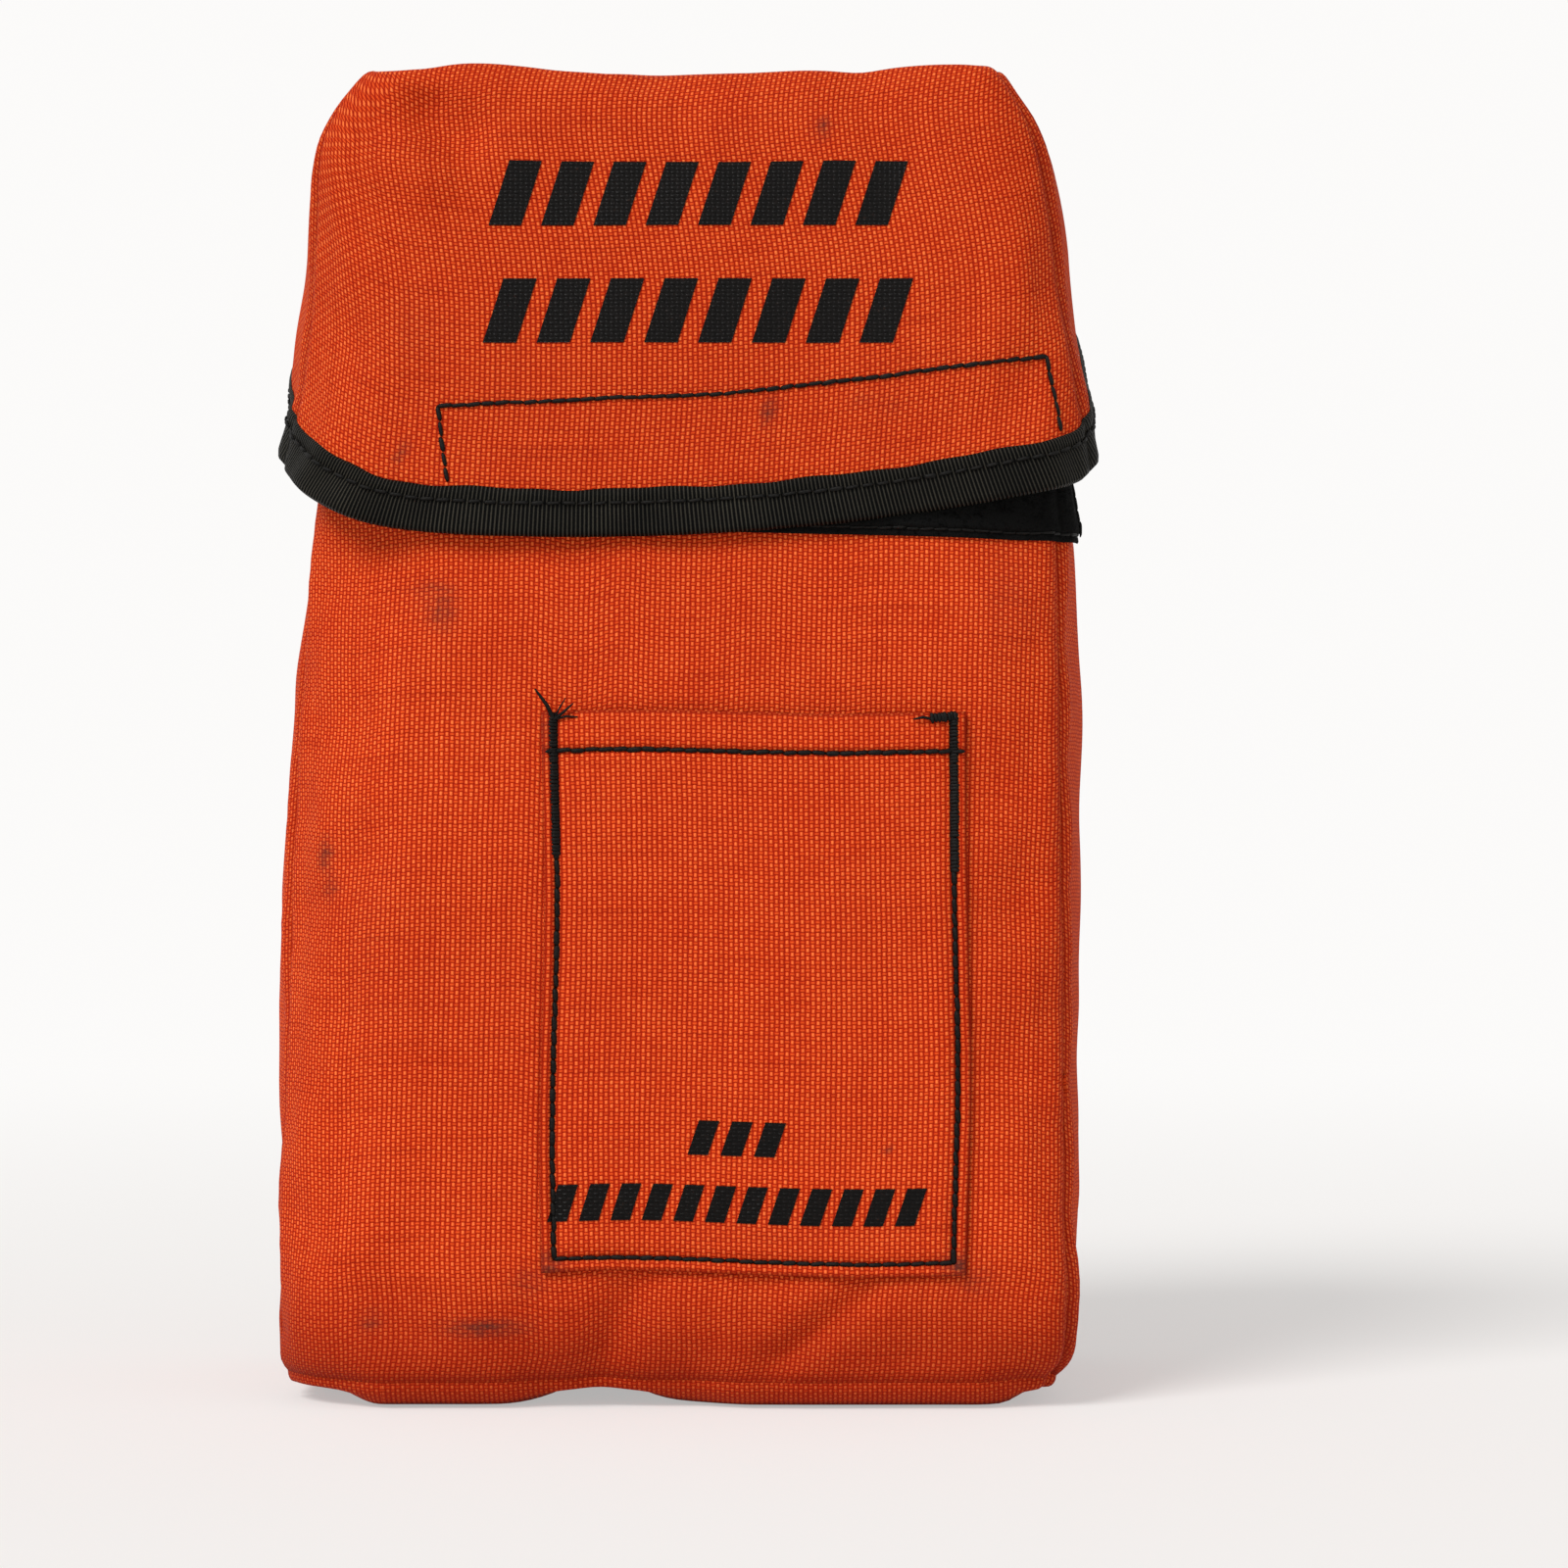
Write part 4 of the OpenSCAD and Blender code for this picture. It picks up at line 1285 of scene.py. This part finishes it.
POCKET_W = POCKET_HIGH[0] - POCKET_LOW[0]
POCKET_H = POCKET_HIGH[2] - POCKET_LOW[2]
STITCH_IN = 2.3            # the pocket's stitching, in from its edges
HEM_H = 7.2


def pocket_edges(x, z):
    """Distances in from the pocket's sewn edges, and down from its mouth."""
    side = np.minimum(np.minimum(x - POCKET_LOW[0], POCKET_HIGH[0] - x), z - POCKET_LOW[2])
    return side, POCKET_HIGH[2] - z


def pocket_lift(x, z):
    """How far the pocket's outer face stands off the wall, with its margins and its hem."""
    side, top = pocket_edges(x, z)
    rim = 1.0 + 0.55 * np.sqrt(np.clip(1 - ((side - 1.05) / 1.15) ** 2, 0, 1))
    inner = 1.05 + 0.55 * smooth((side - STITCH_IN) / 3)
    lift = np.where(side < STITCH_IN, rim, inner)
    lift -= 0.42 * bump(side, STITCH_IN, 0.55)
    inside = smooth((side - 3) / 8)
    middle_x = (x - POCKET_LOW[0]) / POCKET_W
    middle_z = (z - POCKET_LOW[2]) / POCKET_H
    lift += 0.8 * inside * np.sin(math.pi * np.clip(middle_x, 0, 1)) * (0.5 + 0.5 * middle_z)
    lift -= 0.5 * bump(top, HEM_H, 0.6) * inside + 0.1 * bump(top, HEM_H, 0.6)
    lift += 0.25 * smooth((HEM_H - top) / 1.2)
    lift -= 0.35 * smooth((0.8 - top) / 0.8) + 0.35 * smooth((0.6 - side) / 0.6)
    return lift


def on_front(x, z, lift=0.0):
    return POUCH_WALL.at(POUCH_WALL.s_of(x, z, FRONT_SPAN), z, lift)


def pocket_outline(x, z):
    """Moves the pocket's square outline into its sewn shape."""
    across = (x - POCKET_LOW[0]) / POCKET_W
    up = (z - POCKET_LOW[2]) / POCKET_H
    bow = np.sin(math.pi * np.clip(up * 1.1, 0, 1))
    x = x + across * bow * (0.6 + 0.4 * np.sin(6 * up))
    x = x - (1 - across) * 0.7 * np.sin(math.pi * up) * np.sin(5 * up + 1)
    z = z + 0.5 * np.sin(5.5 * across + 0.5) * (1 - up) + 0.35 * np.sin(7 * across) * up
    return x, z


def pocket_shape():
    columns = joined(steps(POCKET_LOW[0], POCKET_LOW[0] + 5, 0.45),
                     steps(POCKET_LOW[0] + 5, POCKET_HIGH[0] - 5, 1.2),
                     steps(POCKET_HIGH[0] - 5, POCKET_HIGH[0], 0.45))
    rows = joined(steps(POCKET_LOW[2], POCKET_LOW[2] + 5, 0.45),
                  steps(POCKET_LOW[2] + 5, POCKET_HIGH[2] - 10, 1.3),
                  steps(POCKET_HIGH[2] - 10, POCKET_HIGH[2], 0.45))
    x, z = np.meshgrid(columns, rows)
    lift = pocket_lift(x, z)
    flat = np.stack([x, np.zeros_like(x), z], axis=-1)
    lift += 0.10 * rumple(flat, 14, 4.4) + 0.14 * rumple(flat, 5, 6.1)
    moved_x, moved_z = pocket_outline(x, z)
    grid = on_front(moved_x, moved_z, lift)
    return grid, np.stack([x, z], axis=-1) * MM, (columns, rows)


def rim_shade(columns, rows):
    """How dark the pocket's cloth is along its folded edges and beside its stitching."""
    side, top = pocket_edges(*np.meshgrid(columns, rows))
    rim = 0.75 * smooth((0.9 - np.minimum(side, top)) / 0.9)
    return rim + 0.35 * bump(side, STITCH_IN, 0.9) + 0.25 * bump(top, HEM_H, 0.8)


def pocket():
    grid, uv, (columns, rows) = pocket_shape()
    marks = soil_at(grid[..., 0], grid[..., 2], POCKET_MARKS)
    piece = cloth("pocket_cloth", grid, 0.8, BODY_CLOTH, marks, uv, rim_shade(columns, rows))
    place(piece, "pouch", "orange_cloth", "pocket_patch", "pocket_margins", "pocket_hem")
    return Wall(columns, rows, grid)


def pocket_stitching(patch):
    low_x, high_x = POCKET_LOW[0] + STITCH_IN, POCKET_HIGH[0] - STITCH_IN
    low_z, high_z = POCKET_LOW[2] + STITCH_IN, POCKET_HIGH[2] - 1.0
    hem_z = POCKET_HIGH[2] - HEM_H
    left = [(low_x, high_z), (low_x, low_z)]
    under = [(low_x, low_z), (high_x, low_z)]
    right = [(high_x, low_z), (high_x, high_z)]
    hem = [(low_x - 1.6, hem_z), (high_x + 1.8, hem_z)]
    stitches("pocket_side_stitches", [along_path(patch, p, 0.1) for p in (left, right)],
             "pouch", width=1.05, height=0.38, seed=3)
    stitches("pocket_stitches", [along_path(patch, p, 0.1) for p in (under, hem)], "pouch",
             seed=4)
    tack_low = POCKET_HIGH[2] - 26
    paths = [[(low_x - 0.3, high_z + 0.6), (low_x - 0.1, tack_low)],
             [(high_x + 0.2, high_z + 0.6), (high_x + 0.2, tack_low - 3)],
             [(high_x + 0.8, high_z + 0.2), (high_x - 4.2, high_z - 0.1)]]
    return [along_path(patch, p, 0.35) for p in paths]


def bar_tacks(patch):
    """Dense bars of thread across the pocket's side seams at its mouth."""
    bars = pocket_stitching(patch)
    turned = []
    rng = np.random.default_rng(8)
    spacing, tight_part = 0.62, 14
    for points, normals in bars:
        run = lengths_along(points[None], 1)[0]
        for place_on in np.arange(0.3, run[-1], spacing):
            c, n = (read_at(place_on, run, values) for values in (points, normals))
            along = points[-1] - points[0]
            side = np.cross(n, along / np.linalg.norm(along))
            half = rng.uniform(0.72, 1.0) * (1.0 if place_on < tight_part else 0.8)
            ends = np.array([c - side * half, c + side * half])
            turned.append((ends[0] + np.linspace(0, 1, 9)[:, None] * (ends[1] - ends[0]),
                           np.tile(n, (9, 1))))
    piece = stitches("pocket_bar_tack_threads", turned, "pouch", pitch=1.6, length=1.9,
                     width=0.78, height=0.30, seed=5)
    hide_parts("pocket_bar_tacks")
    corner = patch.at(POCKET_LOW[0] + 2.0, POCKET_HIGH[2] - 1.5, 0.6)
    right = patch.at(POCKET_HIGH[0] - 6.5, POCKET_HIGH[2] - 1.2, 0.5)
    ends = [([corner, corner + (-1.2, -0.6, 2.6), corner + (-3.4, -0.9, 5.6)], 0.42),
            ([corner, corner + (1.6, -0.7, 1.2), corner + (3.6, -0.8, 3.0)], 0.3),
            ([corner, corner + (2.2, -0.5, 0.6), corner + (4.4, -0.4, 0.5)], 0.24),
            ([corner, corner + (1.0, -0.6, 2.0), corner + (2.2, -0.5, 4.0)], 0.2),
            ([right, right + (-1.4, -0.4, 0.3), right + (-3.2, -0.3, -0.1)], 0.3)]
    threads("pocket_thread_ends", ends, "pouch")


def loop_tape():
    """The loop half of the closure, sewn flat to the front and ending round the corner."""
    right = STRIP_HIGH[0] - 0.6
    left = STRIP_LOW[0]
    low, high = STRIP_LOW[2], STRIP_HIGH[2]
    rows = joined(steps(low, low + 2.4, 0.3), steps(low + 2.4, high - 2, 1.5),
                  steps(high - 2, high, 0.4))
    s0, s1 = POUCH_WALL.s_of(np.array([left, right]), (low + high) / 2, FRONT_SPAN)
    columns = steps(float(s0), float(s1), 1.2)
    ss, zz = np.meshgrid(columns, rows)
    drop = 2.4 * (ss - columns[0]) / (columns[-1] - columns[0]) - 2.2
    edge = np.minimum(zz - low, high - zz)
    lift = 0.75 + 0.75 * smooth((edge - 1.0) / 1.0)
    lift -= 0.35 * bump(edge, 1.5, 0.35) + 0.25 * smooth((0.35 - edge) / 0.35)
    flat = np.stack([ss, np.zeros_like(ss), zz], axis=-1)
    lift += 0.12 * rumple(flat, 4, 1.7)
    lift += 0.9 * smooth((ss - columns[-1] + 9) / 9)
    grid = POUCH_WALL.at(ss + 0.25 * rumple(flat, 2.0, 7.7) * (ss > columns[-2]),
                         zz - drop, lift)
    piece = cloth("loop_strip_tape", grid, 0.7, LOOP, uv=np.stack([ss, zz], -1) * MM)
    place(piece, "pouch", "loop_pile", "loop_strip")
    tape = Wall(columns, rows, grid)
    first, last = columns[0], columns[-1]
    paths = ([(first + 1.5, low + 1.5), (last - 1.0, low + 1.5)],
             [(last - 1.6, low + 1.5), (last - 1.6, high - 1.5)])
    stitches("loop_strip_stitches", [along_path(tape, p, 0.0) for p in paths], "pouch",
             width=0.66, height=0.15, seed=12)


# ---- The lid ----

def lid_grid(columns, lift=0.0, above=0.0):
    """A grid from the lid's lower edge up to its top seam."""
    foot = edge_h(columns) + above
    shoulder_h = CROWN_Z - BROW
    lower = np.linspace(0, 1, 38)[:-1, None] * (shoulder_h - foot)[None, :] + foot[None, :]
    upper = np.linspace(shoulder_h, LID_TOP, 9)[:, None] + 0 * foot[None, :]
    heights = np.concatenate([lower, upper])
    return LID_WALL.at(columns[None, :], heights, lift)


def lid_columns(a, b, back=0):
    """Columns between two seams, closer together towards an ear's back edge."""
    s = within(LID_WALL.s, a, b)
    close = (1 - np.cos(np.linspace(0, math.pi / 2, 14))) * EAR_CORNER
    if back < 0:
        return joined(a + close, s[s > a + EAR_CORNER])
    if back > 0:
        return joined(s[s < b - EAR_CORNER], b - close)
    return s


def lid_walls():
    parts = [("lid_front", LID_FL, LID_FR, 0), ("lid_left_ear", EAR_L, LID_FL, -1),
             ("lid_right_ear", LID_FR, EAR_R, 1)]
    for name, a, b, back in parts:
        grid = lid_grid(lid_columns(a, b, back))
        marks = soil_at(grid[..., 0], grid[..., 2], LID_MARKS) * (grid[..., 1] < -20)
        piece = cloth(name + "_cloth", grid, SHELL, LID_CLOTH, marks,
                      seam=edge_shade(grid, (0.4 * (back >= 0), 0.4 * (back <= 0), 0, 0.45)))
        place(piece, "lid", "orange_cloth", name)
        grid = lid_grid(lid_columns(a, b, back), -SHELL - 0.1, 0.4)
        piece = cloth(name + "_lining_cloth", grid, LINING, LINING_CLOTH)
        place(piece, "lid", "lid_lining", name + "_lining")


def lid_edge_path():
    """The bound edge as (s, h), from the top of the left ear's back edge round to the
    right one, with the direction that points into the cloth."""
    top = LID_TOP - 3.6
    keep = EDGE_S[(EDGE_S > EAR_L + 0.01) & (EDGE_S < EAR_R - 0.01)]
    s = np.concatenate([[EAR_L, EAR_L], keep, [EAR_R, EAR_R]])
    h = np.concatenate([[top, EDGE_H[0]], edge_h(keep), [EDGE_H[-1], top]])
    path = np.stack([s, h], axis=-1)
    run = run_of(path)
    even = np.linspace(0, run[-1], int(run[-1] / 1.1))
    path = read_at(even, run, path)
    ahead = np.gradient(path, axis=0)
    for _ in range(2):
        even_out(ahead)
    ahead /= np.linalg.norm(ahead, axis=1, keepdims=True)
    inward = np.stack([-ahead[:, 1], ahead[:, 0]], axis=-1)
    return even, path, inward


def lid_binding():
    run, path, inward = lid_edge_path()
    profile = folded_profile(SHELL + LINING + 0.1)
    waver = 0.18 * np.sin(run * 0.21) + 0.12 * np.sin(run * 0.53 + 1)
    rows = []
    for d, lift in profile:
        at = path + inward * (d + (waver * (d > 4))[:, None])
        rows.append(LID_WALL.at(at[:, 0], at[:, 1], lift))
    piece = swept_tape("lid_binding_tape", rows, run, run_of(profile), TAPE, FOLDED_TAPE)
    place(piece, "lid", "black_binding", "lid_binding")
    at = path + inward * (TAPE_W * 0.68)
    points = LID_WALL.at(at[:, 0], at[:, 1], 0.55)
    normals = LID_WALL.at(at[:, 0], at[:, 1], 1.55) - points
    stitches("lid_binding_stitches", [(points[2:-2], normals[2:-2])], "lid", pitch=2.9,
             length=2.5, width=0.7, seed=21)


def hook_tape():
    """The hook half of the closure, inside the lid's front, in line with its stitching."""
    low, high = node_box("hook_strip")
    columns = steps(LID_WALL.s_of(low[0] + 2, 180.0, LID_SPAN).item(),
                    LID_WALL.s_of(high[0] - 3, 182.0, LID_SPAN).item(), 1.5)
    foot = np.maximum(edge_h(columns) + TAPE_W + 1.0, 0)
    tall = np.interp(columns, [columns[0], columns[-1]], [14.0, 16.0])
    share = np.linspace(0, 1, 14)
    heights = foot[None, :] + share[:, None] * tall[None, :]
    grid = LID_WALL.at(columns[None, :], heights, -SHELL - LINING - 0.25)[:, ::-1]
    piece = cloth("hook_strip_tape", grid[:, ::-1], 0.8, HOOK)
    place(piece, "lid", "hook_pile", "hook_strip")


def lid_stitching():
    """The stitched outline that holds the hook tape behind the lid's front."""
    corners = [(-42.7, 170.5), (-44.6, 184.5), (8.1, 186.7), (36.9, 189.9), (67.1, 194.0),
               (69.7, 180.0)]
    path = [(LID_WALL.s_of(x, z, LID_SPAN).item(), z) for x, z in corners]
    runs = [along_path(LID_WALL, path[a:b], 0.0) for a, b in ((0, 2), (1, 5), (4, 6))]
    stitches("lid_stitches", runs, "lid", width=0.80, seed=31)


# ---- Printed bars ----

def printed_bars(name, wall, span, middle, z, width, height, count, body):
    """A row of slanted bars of print, generic, where such a bag has its printing."""
    verts, faces, maps = [], [], []
    pitch = width / count
    filled, slant = 0.62, 0.32
    for k in range(count):
        left = middle - width / 2 + k * pitch
        across, up = np.linspace(0, pitch * filled, 8), np.linspace(0, height, 14)
        aa, bb = np.meshgrid(across, up)
        x = left + aa + slant * (bb - height / 2)
        zz = z - height / 2 + bb
        s = x if span is None else wall.s_of(x, zz, span)
        grid = wall.at(s, zz, 0.2)
        start = len(verts) * grid.shape[0] * grid.shape[1]
        faces += [tuple(i + start for i in f) for f in grid_faces(*grid.shape[:2])]
        verts.append(grid.reshape(-1, 3))
        maps.append(np.stack([x, zz], axis=-1).reshape(-1, 2) * MM)
    piece = new_piece(name, np.vstack(verts), faces, np.vstack(maps))
    thicken(piece, 0.12)
    soften(piece)
    piece.data.materials.append(PRINT)
    place(piece, body, "black_thread")


# ---- Stage ----

def camera():
    """A long lens, level with the bag's middle, square to its front."""
    data = bpy.data.cameras.new("camera")
    data.lens, data.sensor_width = 112.5, 36
    eye = bpy.data.objects.new("camera", data)
    eye.location = (0.0189, -0.946, 0.1152)
    eye.rotation_euler = (math.radians(90), 0, 0)
    bpy.context.scene.collection.objects.link(eye)
    bpy.context.scene.camera = eye


def lamp(name, softness, strength, spot):
    """A distant soft lamp that shines from spot towards the bag."""
    data = bpy.data.lights.new(name, "SUN")
    data.angle, data.energy = math.radians(softness), strength
    light = bpy.data.objects.new(name, data)
    light.location = spot
    light.rotation_euler = (-Vector(spot)).to_track_quat("-Z", "Y").to_euler()
    bpy.context.scene.collection.objects.link(light)


def studio():
    lamp("key", softness=26, strength=2.45, spot=(-1.2, -1.55, 1.85))
    lamp("fill", softness=70, strength=0.25, spot=(1.3, -1.4, 0.6))
    bpy.ops.mesh.primitive_plane_add(size=60, location=(0, 0, 0))
    floor = bpy.context.object
    floor.name = "floor"
    floor.data.materials.append(floor_finish())
    world = bpy.data.worlds.new("studio")
    bpy.context.scene.world = world
    world.use_nodes = True
    tree = world.node_tree
    sky = tree.nodes["Background"]
    sky.inputs["Color"].default_value = (1.0, 0.985, 0.97, 1)
    sky.inputs["Strength"].default_value = 0.40
    seen = tree.nodes.new("ShaderNodeBackground")
    seen.inputs["Color"].default_value = BACKDROP
    mix = tree.nodes.new("ShaderNodeMixShader")
    tree.links.new(seen_directly(tree), mix.inputs[0])
    tree.links.new(sky.outputs[0], mix.inputs[1])
    tree.links.new(seen.outputs[0], mix.inputs[2])
    tree.links.new(mix.outputs[0], tree.nodes["World Output"].inputs[0])
    bpy.context.scene.view_settings.view_transform = "Standard"


camera()
pouch_walls()
bottom_panel()
back_and_top()
mouth_binding()
patch = pocket()
bar_tacks(patch)
loop_tape()
lid_walls()
lid_binding()
hook_tape()
lid_stitching()
for row, z, width, height, count in (("upper", 223.6, 77.0, 11.8, 8),
                                     ("lower", 202.0, 79.0, 11.8, 8)):
    printed_bars("lid_print_" + row, LID_WALL, LID_SPAN, 5.0, z, width, height, count, "lid")
for row, z, width, height, count in (("upper", 50.4, 18.0, 6.3, 3), ("lower", 38.3, 69.0, 6.7, 12)):
    printed_bars("pocket_print_" + row, patch, None, 11.3, z, width, height, count, "pouch")
studio()
